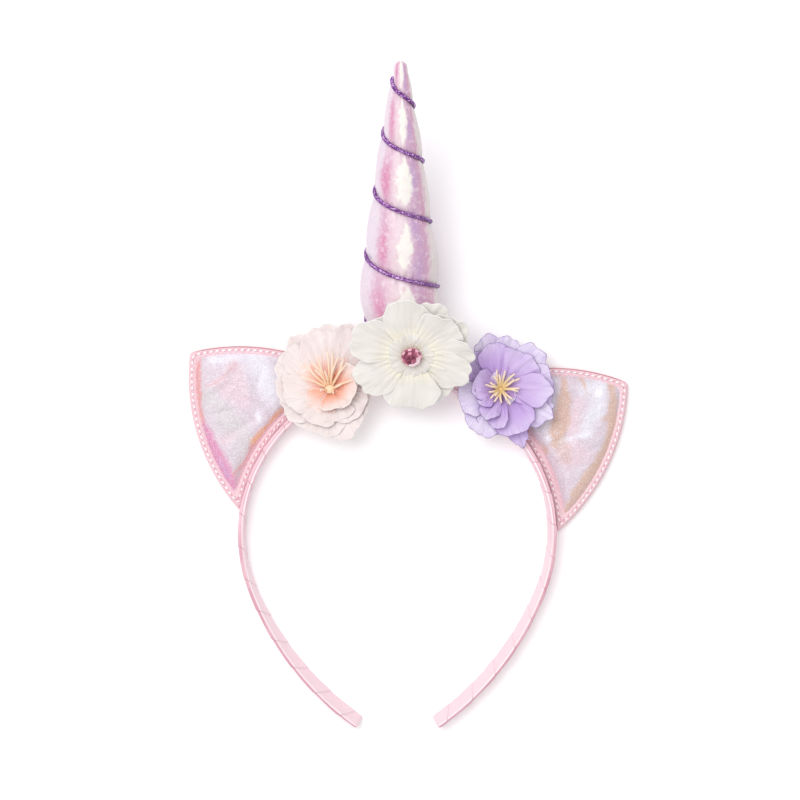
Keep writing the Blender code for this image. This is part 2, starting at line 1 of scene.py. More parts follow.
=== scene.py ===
"""Unicorn horn headband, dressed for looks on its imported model. Metres, with the table at z = 0.

+X is to the right as seen from above, +Y runs from the head to the horn's tip, and +Z is up.
"""

import math

import bmesh
import bpy
import numpy as np
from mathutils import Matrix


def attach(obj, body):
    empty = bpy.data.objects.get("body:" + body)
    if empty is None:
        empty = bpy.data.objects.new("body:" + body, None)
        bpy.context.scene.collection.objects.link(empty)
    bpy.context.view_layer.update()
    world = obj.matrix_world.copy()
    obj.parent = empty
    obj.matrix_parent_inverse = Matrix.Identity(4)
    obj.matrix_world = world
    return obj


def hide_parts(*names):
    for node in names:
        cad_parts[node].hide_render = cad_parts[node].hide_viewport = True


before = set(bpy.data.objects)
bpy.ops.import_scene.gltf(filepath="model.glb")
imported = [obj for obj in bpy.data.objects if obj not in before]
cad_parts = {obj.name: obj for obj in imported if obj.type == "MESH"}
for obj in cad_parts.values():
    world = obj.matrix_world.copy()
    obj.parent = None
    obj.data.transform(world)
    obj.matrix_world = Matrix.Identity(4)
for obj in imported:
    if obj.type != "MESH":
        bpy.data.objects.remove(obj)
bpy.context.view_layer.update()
MM = 0.001


def rgb(red, green, blue):
    """A colour as it looks on a screen, 0 to 255, made linear for a shader."""
    screen = np.array([red, green, blue]) / 255
    linear = np.where(screen <= 0.04045, screen / 12.92, ((screen + 0.055) / 1.055) ** 2.4)
    return (*(float(part) for part in linear), 1.0)


class Nodes:
    """A tree of shader nodes, with short calls for the kinds that are used here."""

    def __init__(self, tree):
        self.tree = tree

    def add(self, kind, inputs=None, **settings):
        """Adds a node, gives it its settings, sets or links its inputs and returns its outputs."""
        node = self.tree.nodes.new(kind)
        for name, value in settings.items():
            setattr(node, name, value)
        for socket, value in (inputs or {}).items():
            if isinstance(value, bpy.types.NodeSocket):
                self.tree.links.new(value, node.inputs[socket])
            else:
                node.inputs[socket].default_value = value
        return node.outputs

    def maths(self, operation, *values):
        return self.add("ShaderNodeMath", dict(enumerate(values)), operation=operation)[0]

    def parts(self, vector):
        return self.add("ShaderNodeSeparateXYZ", {0: vector})

    def blend(self, share, first, second):
        """Mixes two colours by a share."""
        return self.add("ShaderNodeMix", {0: share, 6: first, 7: second}, data_type="RGBA")[2]

    def fit(self, value, low, high, start=0.0, end=1.0):
        """Stretches a value from low..high to start..end, with soft ends and no overshoot."""
        inputs = {"Value": value, "From Min": low, "From Max": high, "To Min": start, "To Max": end}
        return self.add("ShaderNodeMapRange", inputs, interpolation_type="SMOOTHSTEP")[0]

    def speckle(self, base, noise, low, high, most, colour):
        """Lays a colour on a base where noise is high, up to a share of it."""
        return self.blend(self.fit(noise, low, high, 0.0, most), base, colour)

    def ramp(self, value, stops):
        """A run of colours over a value from 0 to 1, from stops of (place, colour)."""
        colour = self.add("ShaderNodeValToRGB", {0: value})[0]
        line = colour.node.color_ramp.elements
        while len(line) < len(stops):
            line.new(1.0)
        for element, (place, paint) in zip(line, stops):
            element.position = place
            element.color = paint
        return colour

    def grain(self, scale, detail=2.0, rough=0.5, place=None):
        """Noise from 0 to 1, on the object's own coordinates unless a place is given."""
        place = place or self.add("ShaderNodeTexCoord")["Object"]
        inputs = {"Vector": place, "Scale": scale, "Detail": detail, "Roughness": rough}
        return self.add("ShaderNodeTexNoise", inputs)[0]

    def stretch(self, place, scale):
        return self.add("ShaderNodeMapping", {"Vector": place, "Scale": scale})[0]

    def relief(self, height, depth, before=None):
        """A normal with fine relief of some depth in metres, on top of another if one is given."""
        inputs = {"Height": height, "Distance": depth, "Strength": 1.0}
        if before is not None:
            inputs["Normal"] = before
        return self.add("ShaderNodeBump", inputs)[0]


class Paint(Nodes):
    """A material for a slot of the record. The values are for its shader's inputs, with _ for a space."""

    def __init__(self, name, roughness, slot="", **values):
        self.material = bpy.data.materials.new(name)
        self.material.use_nodes = True
        super().__init__(self.material.node_tree)
        self.slot = slot
        self.shader = self.tree.nodes["Principled BSDF"].inputs
        for socket, value in {"Roughness": roughness, **values}.items():
            self.shader[socket.replace("_", " ")].default_value = value

    def uv(self):
        return self.add("ShaderNodeUVMap", uv_map="surface")[0]

    def tint(self, output="Color"):
        return self.add("ShaderNodeAttribute", attribute_name="tint")[output]

    def finish(self, colour, normal=None):
        """Gives the shader its colour and its normal, and returns the paint."""
        self.tree.links.new(colour, self.shader["Base Color"])
        if normal is not None:
            self.tree.links.new(normal, self.shader["Normal"])
        return self


def place_object(name, data, location=(0.0, 0.0, 0.0), rotation=(0.0, 0.0, 0.0)):
    """Adds an object to the scene, turned by a rotation in degrees."""
    thing = bpy.data.objects.new(name, data)
    thing.location = location
    thing.rotation_euler = [math.radians(turn) for turn in rotation]
    bpy.context.scene.collection.objects.link(thing)
    return thing


# The studio: a pale table, a sky that is brighter overhead, and a large soft lamp up and to the left.
# The camera looks straight down from a metre above the table.

bpy.context.scene.view_settings.view_transform = "Standard"

camera_data = bpy.data.cameras.new("camera")
camera_data.lens = 111.94
camera_data.sensor_width = 36.0
camera_data.clip_start = 0.01
bpy.context.scene.camera = place_object("camera", camera_data, (0.001, -0.0084, 1.0))

SKY_LOW, SKY_HIGH = 0.50, 0.86
world = bpy.data.worlds.new("sky")
world.use_nodes = True
bpy.context.scene.world = world
sky = Nodes(world.node_tree)
sky_height = sky.parts(sky.add("ShaderNodeTexCoord")["Generated"])[2]
background = sky.tree.nodes["Background"].inputs
background["Color"].default_value = (1.0, 0.995, 1.0, 1.0)
sky.tree.links.new(sky.fit(sky_height, -0.1, 0.9, SKY_LOW, SKY_HIGH), background["Strength"])

lamp_data = bpy.data.lights.new("soft_lamp", "AREA")
lamp_data.shape = "DISK"
lamp_data.size = 0.9
lamp_data.energy = 8.5
place_object("soft_lamp", lamp_data, (-0.42, 0.37, 1.25), (-11.0, -21.0, 0.0))

TABLE_REACH = 4.0
TABLE_WHITE, TABLE_GREY = (0.98, 0.98, 0.98, 1.0), (0.965, 0.965, 0.97, 1.0)
table_paint = Paint("table_white", 0.9, Specular_IOR_Level=0.1, Emission_Strength=0.09)
table_paint.shader["Emission Color"].default_value = (1.0, 1.0, 1.0, 1.0)
table_paint.finish(table_paint.blend(table_paint.grain(3.0), TABLE_GREY, TABLE_WHITE))
table_mesh = bpy.data.meshes.new("table")
table_corners = [(x * TABLE_REACH, y * TABLE_REACH, 0) for x, y in ((-1, -1), (1, -1), (1, 1), (-1, 1))]
table_mesh.from_pydata(table_corners, [], [(0, 1, 2, 3)])
table_mesh.materials.append(table_paint.material)
table = place_object("table", table_mesh)

# Helpers for shapes. A shape is made of grids of points, each rows by columns by 3.


def ease(share):
    """A smooth step from 0 to 1: three squares less two cubes."""
    share = np.clip(share, 0.0, 1.0)
    return share * share * (3 - 2 * share)


def bell(off, width):
    """A bump that is 1 in its middle and falls off to both sides."""
    return np.exp(-((off / width) ** 2))


def circle(steps):
    """The angles of a full circle in even steps, with the first again at the end."""
    return np.linspace(0, 2 * math.pi, steps + 1)


def soft_noise(x, y, seed, repeat=64):
    """Smooth noise from -1 to 1: random numbers on a unit lattice that repeats in x, eased between."""
    table = np.random.default_rng(seed).uniform(-1, 1, (repeat, 97))
    column, row = np.floor(x).astype(int), np.floor(y).astype(int)
    right, up = ease(x - column), ease(y - row)
    low, high = (
        table[column % repeat, level % 97] * (1 - right) + table[(column + 1) % repeat, level % 97] * right
        for level in (row, row + 1)
    )
    return low * (1 - up) + high * up


def cloth_noise(place, wide, deep, seed, shift=0):
    """Soft noise over flat places, in cells of some mm either way."""
    return soft_noise(place[..., 0] / (wide * MM) + shift, place[..., 1] / (deep * MM) + 40, seed)


def at_height(place, height):
    """Flat places with a height put to each."""
    return np.concatenate([place, np.broadcast_to(height, place.shape[:-1])[..., None]], -1)


def walk(line):
    """How far along a line each of its points is."""
    return np.concatenate([[0.0], np.cumsum(np.linalg.norm(np.diff(line, axis=0), axis=1))])


def sample(line, walked, stops):
    """What a line's rows come to at some distances along it."""
    return np.stack([np.interp(stops, walked, part) for part in line.T], -1)


def tube(line, up, radius, around):
    """Rings round a line, at angles that start on its upper side. The radius may be for each point."""
    ahead = np.gradient(line, axis=0)
    ahead /= np.linalg.norm(ahead, axis=1, keepdims=True)
    across = np.cross(ahead, up)
    across /= np.linalg.norm(across, axis=1, keepdims=True)
    over = np.cross(across, ahead)
    ring = np.cos(around)[None, :, None] * over[:, None] + np.sin(around)[None, :, None] * across[:, None]
    return line[:, None] + radius[..., None] * ring


def lathe(radii, heights, around):
    """Rings about Z, each with its radius and height in mm."""
    x, y = np.outer(radii, np.cos(around)), np.outer(radii, np.sin(around))
    return at_height(np.stack([x, y], -1), np.array(heights)[:, None]) * MM


def lay(film, colour, share):
    """Colours with another laid on by a share of each."""
    return film + (np.array(colour) - film) * share[..., None]


def make_piece(name, grids, paint, nodes=(), closed=True, uvs=None, tints=None, smooth=True):
    """One piece of grids of points, with the points that meet merged.

    A grid's UV is (column share, row share) unless given, and tints are colours for its points.
    """
    points, quads, places, start = [], [], [], 0
    for order, grid in enumerate(grids):
        rows, columns = grid.shape[:2]
        index = start + np.arange(rows * columns).reshape(rows, columns)
        corners = [index[:-1, :-1], index[1:, :-1], index[1:, 1:], index[:-1, 1:]]
        quads.append(np.stack(corners, -1).reshape(-1, 4))
        if uvs is None:
            uv = np.stack(np.meshgrid(np.linspace(0, 1, columns), np.linspace(0, 1, rows)), -1)
        else:
            uv = uvs[order]
        places.append(uv.reshape(-1, 2))
        points.append(grid.reshape(-1, 3))
        start += rows * columns
    points, quads, places = np.concatenate(points), np.concatenate(quads), np.concatenate(places)
    mesh = bpy.data.meshes.new(name)
    mesh.vertices.add(len(points))
    mesh.vertices.foreach_set("co", points.astype(np.float32).ravel())
    mesh.loops.add(quads.size)
    mesh.loops.foreach_set("vertex_index", quads.astype(np.int32).ravel())
    mesh.polygons.add(len(quads))
    mesh.polygons.foreach_set("loop_start", np.arange(0, quads.size, 4, dtype=np.int32))
    mesh.update(calc_edges=True)
    surface = places[quads.ravel()].astype(np.float32)
    mesh.uv_layers.new(name="surface").data.foreach_set("uv", surface.ravel())
    if tints is not None:
        colours = np.concatenate([tint.reshape(-1, 4) for tint in tints]).astype(np.float32)
        mesh.attributes.new("tint", "FLOAT_COLOR", "POINT").data.foreach_set("color", colours.ravel())
    shell = bmesh.new()
    shell.from_mesh(mesh)
    bmesh.ops.remove_doubles(shell, verts=shell.verts, dist=1e-6)
    if closed:
        bmesh.ops.recalc_face_normals(shell, faces=shell.faces)
    shell.to_mesh(mesh)
    shell.free()
    if smooth:
        mesh.shade_smooth()
    mesh.materials.append(paint.material)
    piece = place_object(name, mesh)
    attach(piece, "root")
    if nodes:
        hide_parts(*nodes)
    return piece


# The band: a plastic strip wound with pink satin ribbon, standing on its lower edge. Each turn of the
# ribbon laps over the one before, so the wall steps up at every lap and thins out again before the next.

ARCH_RADIUS = 63.8 * MM
ARCH_LENGTH = ARCH_RADIUS * math.radians(111.2)
LEG_RADIUS = 119.0 * MM
HALF_LENGTH = ARCH_LENGTH + LEG_RADIUS * math.radians(33.8)
BAND_WIDTH, BAND_TIP_WIDTH = 9.5 * MM, 7.8 * MM
BAND_THICKNESS, BAND_TIP_THICKNESS = 2.8 * MM, 1.8 * MM
ARCH_CENTRE = np.array([0.0, BAND_THICKNESS / 2 - ARCH_RADIUS])
TIP_FLARE = math.radians(31)
FLARE_START_LEFT, FLARE_START_RIGHT = 0.40, 0.24
RIBBON_PITCH = 13.4 * MM
# Turns of ribbon from the crown over which the arch's colours give way to the legs'.
ARCH_TURNS, LEG_TURNS = 6.6, 8.6
FIRST_LAP = 134.0 * MM
LAP_STEP = 0.20 * MM
LAP_SLANT = 0.42
# Shares of a turn at which the wall has a row of points, and the same from the band's ends, closer together.
LAP_SHARES = (0.0, 0.012, 0.05, 0.12, 0.2, 0.3, 0.4, 0.5, 0.6, 0.7, 0.8, 0.9, 0.97)
END_SHARES = np.array([0.0, 0.003, 0.01, 0.025, 0.05, 0.09])


def band_edge(travel):
    """Place and way out of the band's outer face, at a signed distance round from the crown.

    It is an arc of the arch's radius, then one of the leg's radius that leaves it at a tangent.
    """
    side = np.where(travel < 0, -1.0, 1.0)
    arch = np.minimum(np.abs(travel), ARCH_LENGTH) / ARCH_RADIUS
    leg = np.maximum(np.abs(travel) - ARCH_LENGTH, 0) / LEG_RADIUS
    bend = np.stack([side * np.sin(arch), np.cos(arch)], -1)
    out = np.stack([side * np.sin(arch + leg), np.cos(arch + leg)], -1)
    return ARCH_CENTRE + ARCH_RADIUS * bend + LEG_RADIUS * (out - bend), out


def ribbon_surface(turns, around):
    """The wound band: a rounded oblong section carried along the band's edge.

    Turns counts laps of ribbon and around is the angle round the section. The lap lines slant, as they
    do on ribbon that is wound on, and the section swells by the lap's step just after each of them. The
    UV is (turns, share of the way round the section), where the top edge is at a quarter.
    """
    turns, around = np.meshgrid(turns, around, indexing="ij")
    wide = np.sign(np.sin(around)) * np.abs(np.sin(around)) ** 0.42
    deep = np.sign(np.cos(around)) * np.abs(np.cos(around)) ** 0.5
    travel = FIRST_LAP + turns * RIBBON_PITCH
    slant = LAP_SLANT * (wide * BAND_WIDTH / 2 + deep * BAND_THICKNESS * 0.7)
    travel = travel + slant * ease((HALF_LENGTH - np.abs(travel)) / (6 * MM))
    travel = np.clip(travel, -HALF_LENGTH, HALF_LENGTH)
    edge, out = band_edge(travel)
    along = np.abs(travel) / HALF_LENGTH
    start = np.where(travel > 0, FLARE_START_RIGHT, FLARE_START_LEFT)
    flare = TIP_FLARE * ease((along - start) / (1 - start))
    taper = ease((along - FLARE_START_RIGHT) / (1 - FLARE_START_RIGHT))
    width = BAND_WIDTH + (BAND_TIP_WIDTH - BAND_WIDTH) * taper
    thickness = BAND_THICKNESS + (BAND_TIP_THICKNESS - BAND_THICKNESS) * taper
    share = turns - np.floor(turns)
    lap = LAP_STEP * ease(share / 0.02) * (1 - share) - 0.06 * MM
    lap = lap + 0.03 * MM * soft_noise(turns * 6, around * 2, 5)
    rounding = np.sqrt(np.clip((HALF_LENGTH + 0.2 * MM - np.abs(travel)) / (1.2 * MM), 0.0, 1.0))
    inward = -thickness / 2 + (thickness / 2 + lap) * deep * rounding
    height = -width / 2 + (width / 2 + lap) * wide * (0.8 + 0.2 * rounding)
    x_y = edge + out * (inward * np.cos(flare) + height * np.sin(flare))[..., None]
    z = -inward * np.sin(flare) + height * np.cos(flare)
    z = z - z.min(axis=1, keepdims=True)
    walked = walk(np.stack([deep[0] * BAND_THICKNESS, wide[0] * BAND_WIDTH], -1))
    uv = np.stack([turns, np.broadcast_to(walked / walked[-1], turns.shape)], -1)
    return at_height(x_y, z), uv


EDGE_SHADE_ROSE, SEAM_HIGHLIGHT = rgb(216, 160, 175), rgb(255, 240, 244)
LEG_SATIN, ARCH_SATIN = rgb(236, 192, 204), rgb(238, 192, 205)
# Colours round the section, from the outer face over the top edge to the inner face and back underneath.
# They are painted light and shade: painted shade on the top edge, a painted highlight along its inner
# corner, and painted bounce light and reflection that make the inner face lighter.
LEG_LIGHT_BANDS = [
    (0.00, LEG_SATIN), (0.18, EDGE_SHADE_ROSE), (0.268, EDGE_SHADE_ROSE), (0.278, rgb(234, 186, 200)),
    (0.290, SEAM_HIGHLIGHT), (0.306, SEAM_HIGHLIGHT), (0.322, rgb(243, 213, 221)), (0.60, rgb(246, 214, 223)),
    (0.80, rgb(240, 200, 212)), (1.00, LEG_SATIN),
]
ARCH_LIGHT_BANDS = [
    (0.00, rgb(234, 180, 194)), (0.20, ARCH_SATIN), (0.236, rgb(238, 194, 206)),
    (0.250, rgb(216, 152, 170)), (0.262, SEAM_HIGHLIGHT), (0.280, SEAM_HIGHLIGHT),
    (0.292, rgb(238, 196, 208)), (0.60, ARCH_SATIN), (1.00, rgb(234, 180, 194)),
]
BLACK, WHITE = (0, 0, 0, 1), (1, 1, 1, 1)
# Where the line of painted shade along each lap's step lies, as a share of the turn.
LAP_SHADE_LINE = [(0.0, WHITE), (0.012, WHITE), (0.03, BLACK), (0.985, BLACK), (1.0, WHITE)]


def ribbon_paint():
    """Satin with painted shade on the band's top edge, a painted highlight along the seam beside it,
    and a line of painted shade at each lap's step.
    """
    paint = Paint("satin_ribbon", 0.36, "ribbon", Sheen_Weight=0.25, Sheen_Roughness=0.35)
    uv = paint.uv()
    turn, around, _ = paint.parts(uv)
    from_crown = paint.maths("ABSOLUTE", paint.maths("SUBTRACT", turn, -FIRST_LAP / RIBBON_PITCH))
    arch, legs = paint.ramp(around, ARCH_LIGHT_BANDS), paint.ramp(around, LEG_LIGHT_BANDS)
    # The arch's and the legs' painted light and shade, blended by turns from the crown.
    satin = paint.blend(paint.fit(from_crown, ARCH_TURNS, LEG_TURNS), arch, legs)
    satin = paint.speckle(satin, paint.grain(90.0, 3.0), 0.35, 0.7, 0.35, rgb(246, 220, 227))
    # A line of painted shade along each lap's step, fainter on the inner face.
    line = paint.ramp(paint.maths("FRACT", turn), LAP_SHADE_LINE)
    line = paint.maths("MULTIPLY", line, paint.fit(around, 0.29, 0.34, 0.75, 0.12))
    threads = paint.grain(5.0, place=paint.stretch(uv, (160.0, 30.0, 1.0)))
    return paint.finish(paint.blend(line, satin, rgb(212, 152, 168)), paint.relief(threads, 0.05 * MM))


low_turn, high_turn = (np.array([-HALF_LENGTH, HALF_LENGTH]) - FIRST_LAP) / RIBBON_PITCH
whole_turns = np.arange(math.floor(low_turn), math.ceil(high_turn))
ribbon_turns = (whole_turns[:, None] + np.array(LAP_SHARES)).ravel()
ribbon_turns = ribbon_turns[(ribbon_turns > low_turn + 0.1) & (ribbon_turns < high_turn - 0.1)]
ribbon_turns = np.concatenate([low_turn + END_SHARES, ribbon_turns, high_turn - END_SHARES[::-1]])
band_grid, band_uv = ribbon_surface(ribbon_turns, circle(56))
band_ends = [np.broadcast_to(ring.mean(axis=0), (1, *ring.shape)) for ring in band_grid[[0, -1]]]
band_grid = np.concatenate([band_ends[0], band_grid, band_ends[1]])
band_uv = np.concatenate([band_uv[:1], band_uv, band_uv[-1:]])
make_piece("ribbon_band", [band_grid], ribbon_paint(), ["headband"], uvs=[band_uv])

# The ears: two layers of iridescent cloth stuffed and sewn together, with a flat border that is stitched
# all round on a pink backing. Their base follows the band's outer face. An ear's own frame has its origin
# at the arch's centre and +X along the ear's axis.

EAR_AXIS = {"left": math.radians(138.7), "right": math.radians(33.4)}
EAR_SEAT = ARCH_RADIUS + 0.12 * MM
EAR_APEX = ARCH_RADIUS + 46.3 * MM
EAR_MIDDLE = np.array([EAR_SEAT + 17.0 * MM, 0.0])
EAR_HALF_SPAN = math.radians(32)
EAR_BOW = 7.0 * MM
EAR_BACK_LOW, EAR_BACK_TOP = 1.6 * MM, 2.8 * MM
EAR_FACE_LOW, EAR_BORDER_TOP, EAR_PUFF = 3.1 * MM, 4.3 * MM, 3.2 * MM
EAR_BORDER, EAR_PAD_WIDTH = 2.7 * MM, 6.5 * MM
STITCH_INSET, STITCH_PITCH, STITCH_LENGTH, STITCH_RADIUS = 1.0 * MM, 2.5 * MM, 1.65 * MM, 0.48 * MM
STITCH_LIFT, STITCH_TURN = 1.02 * MM, 0.18
ear_foot = EAR_SEAT * np.array([math.cos(EAR_HALF_SPAN), math.sin(EAR_HALF_SPAN)])
ear_chord = np.array([EAR_APEX, 0.0]) - ear_foot
SIDE_RADIUS = float(ear_chord @ ear_chord) / (8 * EAR_BOW) + EAR_BOW / 2
ear_inward = np.array([ear_chord[1], -ear_chord[0]]) / np.linalg.norm(ear_chord)
SIDE_CENTRE = (ear_foot + np.array([EAR_APEX, 0.0])) / 2 + ear_inward * (SIDE_RADIUS - EAR_BOW)
FLIP = np.array([1.0, -1.0])


def short_arc(centre, start, end, trim, steps):
    """Points along an arc about centre from start to end, leaving trim of it off at both ends."""
    radius = np.hypot(*(start - centre))
    first = math.atan2(*(start - centre)[::-1])
    turn = (math.atan2(*(end - centre)[::-1]) - first + math.pi) % (2 * math.pi) - math.pi
    cut = math.copysign(trim / radius, turn)
    angle = first + cut + (turn - 2 * cut) * np.linspace(0, 1, steps)
    return centre + radius * np.stack([np.cos(angle), np.sin(angle)], -1)


def round_corner(before, corner, after, steps=7):
    """A quadratic curve from before to after that is drawn toward the corner, without its two ends."""
    share = np.linspace(0, 1, steps + 2)[1:-1, None]
    return (1 - share) ** 2 * before + 2 * share * (1 - share) * corner + share**2 * after


def ear_outline(inset, base_inset, corner, steps=64):
    """The ear's outline in its own frame, moved in by inset: two bowed sides, a base arc, three corners."""
    radius, seat = SIDE_RADIUS - inset, EAR_SEAT + base_inset
    far = np.hypot(*SIDE_CENTRE)
    along = (far**2 + seat**2 - radius**2) / (2 * far)
    unit = SIDE_CENTRE / far
    off = math.sqrt(seat**2 - along**2) * np.array([-unit[1], unit[0]])
    foot = max(along * unit + off, along * unit - off, key=lambda point: point[1])
    tip = np.array([SIDE_CENTRE[0] + math.sqrt(radius**2 - SIDE_CENTRE[1] ** 2), 0.0])
    upper = short_arc(SIDE_CENTRE, foot, tip, corner, steps)
    lower = (upper * FLIP)[::-1]
    base = short_arc(np.zeros(2), foot * FLIP, foot, corner, steps)
    at_tip = round_corner(upper[-1], tip, lower[0])
    at_feet = round_corner(lower[-1], foot * FLIP, base[0]), round_corner(base[-1], foot, upper[0])
    return np.concatenate([upper, at_tip, lower, at_feet[0], base, at_feet[1], upper[:1]])


def from_seat(own):
    """How far a place in the ear's own frame is from its seat on the band."""
    return np.linalg.norm(own, axis=-1) - EAR_SEAT


def ear_depth(own):
    """How far a place in the ear's own frame is in from its nearest edge, eased where edges compete."""
    sharp = 1 / (0.9 * MM)
    sides = [SIDE_RADIUS - np.linalg.norm(place - SIDE_CENTRE, axis=-1) for place in (own, own * FLIP)]
    return -np.log(sum(np.exp(-edge * sharp) for edge in (*sides, from_seat(own)))) / sharp


def to_table(own, side):
    """A place in an ear's own frame as a place on the table."""
    turn = EAR_AXIS[side]
    rotation = np.array([[math.cos(turn), math.sin(turn)], [-math.sin(turn), math.cos(turn)]])
    return ARCH_CENTRE + own @ rotation


def folds(place, rows):
    """The height of soft folds: each row is its middle x and y, heading, length, width and height, in mm."""
    height = np.zeros(place.shape[:-1])
    for x, y, heading, length, width, rise in rows:
        heading = math.radians(heading)
        off = place / MM - np.array([x, y])
        along = off[..., 0] * math.cos(heading) + off[..., 1] * math.sin(heading)
        across = off[..., 1] * math.cos(heading) - off[..., 0] * math.sin(heading)
        across = across + 0.06 * along**2 / length
        height += rise * bell(across, width) * np.exp(-((2 * along / length) ** 4))
    return height * MM


def strokes(place, rows):
    """The colour of the film on the cloth at places on the table, with painted highlights among it.

    It starts from the first row's colour. Each later row is a colour, its strength, its softness in mm,
    and a run of (x, y, half width) in mm, and is laid on where a place is within the run's width.
    """
    film = np.broadcast_to(np.array(rows[0]), (*place.shape[:-1], 4)).copy()
    wobble = 0.9 * cloth_noise(place, 3, 3, 21, 40) + 0.6 * cloth_noise(place, 1.1, 1.1, 22, 40)
    wobble += 0.6 * cloth_noise(place, 0.45, 0.45, 23, 40)
    for paint, strength, softness, run in rows[1:]:
        share = np.zeros(place.shape[:-1])
        for (x0, y0, r0), (x1, y1, r1) in zip(run, run[1:]):
            ahead, off = np.array([x1 - x0, y1 - y0]), place / MM - np.array([x0, y0])
            along = np.clip((off @ ahead) / (ahead @ ahead), 0.0, 1.0)
            away = np.linalg.norm(off - along[..., None] * ahead, axis=-1)
            past = away + 0.45 * wobble * min(softness, 1.2) - (r0 + (r1 - r0) * along)
            share = np.maximum(share, 1 - ease(past / softness + 0.5))
        film = lay(film, paint, strength * share)
    return film


LEFT_FOLDS = [
    (-73, -3, 28, 16, 1.5, 0.55), (-66, 6, 50, 15, 1.8, 0.45), (-72, -14, 22, 13, 1.3, -0.40),
    (-60, -2, 95, 17, 2.4, 0.45), (-63, -20, 35, 16, 1.6, -0.40), (-54, 4, 75, 14, 1.6, -0.40),
    (-68, -30, 60, 12, 1.2, 0.35), (-76, 6, 60, 10, 1.2, -0.35), (-59, -33, 115, 10, 1.2, 0.30),
    (-77, -22, 150, 7, 0.9, 0.30),
]
RIGHT_FOLDS = [
    (69, -16, 80, 22, 2.2, -0.60), (75, -24, 155, 13, 1.3, 0.60), (81, -4, 110, 13, 1.5, 0.55),
    (84, -17, 60, 12, 1.7, -0.45), (71, -35, 130, 12, 1.5, -0.45), (62, -24, 20, 9, 1.0, 0.50),
    (77, 1, 118, 9, 0.9, 0.40), (64, -4, 95, 12, 1.2, 0.45), (78, -28, 20, 9, 0.9, -0.45),
    (66, -30, 35, 8, 0.9, 0.35),
]
EAR_FOLDS = {"left": LEFT_FOLDS, "right": RIGHT_FOLDS}
PEARL, MAUVE = rgb(228, 226, 236), rgb(214, 197, 208)
ROSE, SALMON = rgb(224, 194, 203), rgb(228, 152, 150)
FUCHSIA, ORANGE, ORCHID = rgb(220, 130, 175), rgb(238, 175, 128), rgb(208, 150, 200)
# The last of these is a painted highlight on the film.
BEIGE, GREY, SHINE_HIGHLIGHT = rgb(216, 176, 154), rgb(206, 200, 200), rgb(243, 243, 252)
FILM = {
    "left": [
        MAUVE,
        (PEARL, 0.9, 7.0, [(-57, 8, 4), (-51, -2, 5), (-50, -8, 3)]),
        (GREY, 0.75, 7.0, [(-76, -7, 3), (-68, -16, 4), (-60, -26, 4), (-63, -36, 2)]),
        (ROSE, 0.8, 5.0, [(-66, 8, 2), (-62, -8, 3), (-67, -4, 4)]),
        (SHINE_HIGHLIGHT, 0.8, 4.0, [(-74, 8, 2), (-60, 10, 2), (-50, 10, 2)]),
        (SALMON, 0.45, 3.0, [(-76, -3, 0.6), (-70, 0, 0.8), (-65, 6, 0.5)]),
        (SHINE_HIGHLIGHT, 0.8, 3.0, [(-56, -14, 1.0), (-55, -17, 1.0)]),
        (SALMON, 0.95, 1.8, [(-80.2, 8, 1.3), (-79.9, -3, 1.5), (-79.1, -13, 1.4), (-77.9, -18, 1.2)]),
        (FUCHSIA, 0.95, 2.4, [(-77.2, -18, 1), (-73.8, -27.2, 2.2), (-69.6, -35.2, 2.9), (-65, -44.2, 1.6)]),
        (ORCHID, 0.8, 2.4, [(-71, -33, 0.8), (-67.5, -38.5, 1.0)]),
        (ROSE, 0.7, 4.0, [(-70, -25, 1.5), (-64, -22, 1.0)]),
        (
            ORANGE, 0.95, 1.8,
            [(-57.2, -24.8, 1.6), (-53.2, -20.8, 1.6), (-50.2, -17.8, 1.6), (-46.2, -13.8, 1.8)],
        ),
        (SALMON, 0.85, 1.6, [(-65.8, -38.3, 0.4), (-61.2, -33.9, 0.6), (-57.8, -27.0, 0.8)]),
    ],
    "right": [
        MAUVE,
        (PEARL, 0.9, 6.0, [(60, 2, 2), (63, -6, 2), (60, -20, 2)]),
        (PEARL, 0.95, 6.0, [(76, -4, 3), (82, 0, 3), (80, -12, 3), (74, -20, 3)]),
        (ROSE, 0.8, 5.0, [(72, -10, 2), (68, -32, 4), (74, -30, 3)]),
        (SHINE_HIGHLIGHT, 0.9, 3.0, [(81, -5, 1.6), (82, 1, 1.4)]),
        (SHINE_HIGHLIGHT, 0.9, 3.0, [(60, -24, 1.2), (66, -24.5, 1.0), (76, -22, 1.0)]),
        (BEIGE, 0.95, 2.4, [(66.8, 0, 0.8), (66.4, -9, 3.0), (65.0, -18, 3.6), (62.5, -25.5, 1.4)]),
        (BEIGE, 0.5, 4.0, [(63, -20, 3.0), (67, -31, 2.5)]),
        (
            BEIGE, 0.95, 2.0,
            [(85.6, -2, 1.2), (86.4, -16, 2.2), (83.5, -28, 1.5), (76, -39.5, 2.6), (67, -53, 1.4)],
        ),
        (BEIGE, 0.8, 2.0, [(86, -15, 2.0), (82.5, -16, 0.8)]),
        (BEIGE, 0.8, 1.2, [(73.5, 1, 0.5), (75.5, -5.5, 0.5)]),
        (BEIGE, 0.55, 2.0, [(59, 1, 0.5), (68, 3.0, 1.0), (77, 1.5, 0.8)]),
        (BEIGE, 0.8, 1.6, [(53.5, -24, 0.6), (59, -29, 1.6)]),
    ],
}
# The border's colour, and the painted shade along its line of stitches.
BORDER_FILM, STITCH_SHADE = np.array(rgb(237, 196, 204)), np.array(rgb(222, 162, 176))
# Rows: (inset, height above the face's underside), from the underside's edge over the border to the pad.
BORDER_ROWS = [
    (0.10, 0.0), (0.0, 0.35), (0.05, 0.75), (0.22, 1.02), (0.5, 1.08), (0.8, 0.90), (1.05, 0.80),
    (1.3, 0.90), (1.6, 1.10), (1.95, 1.15), (2.3, 1.0), (2.65, 0.74),
]
PAD_ROWS = 46
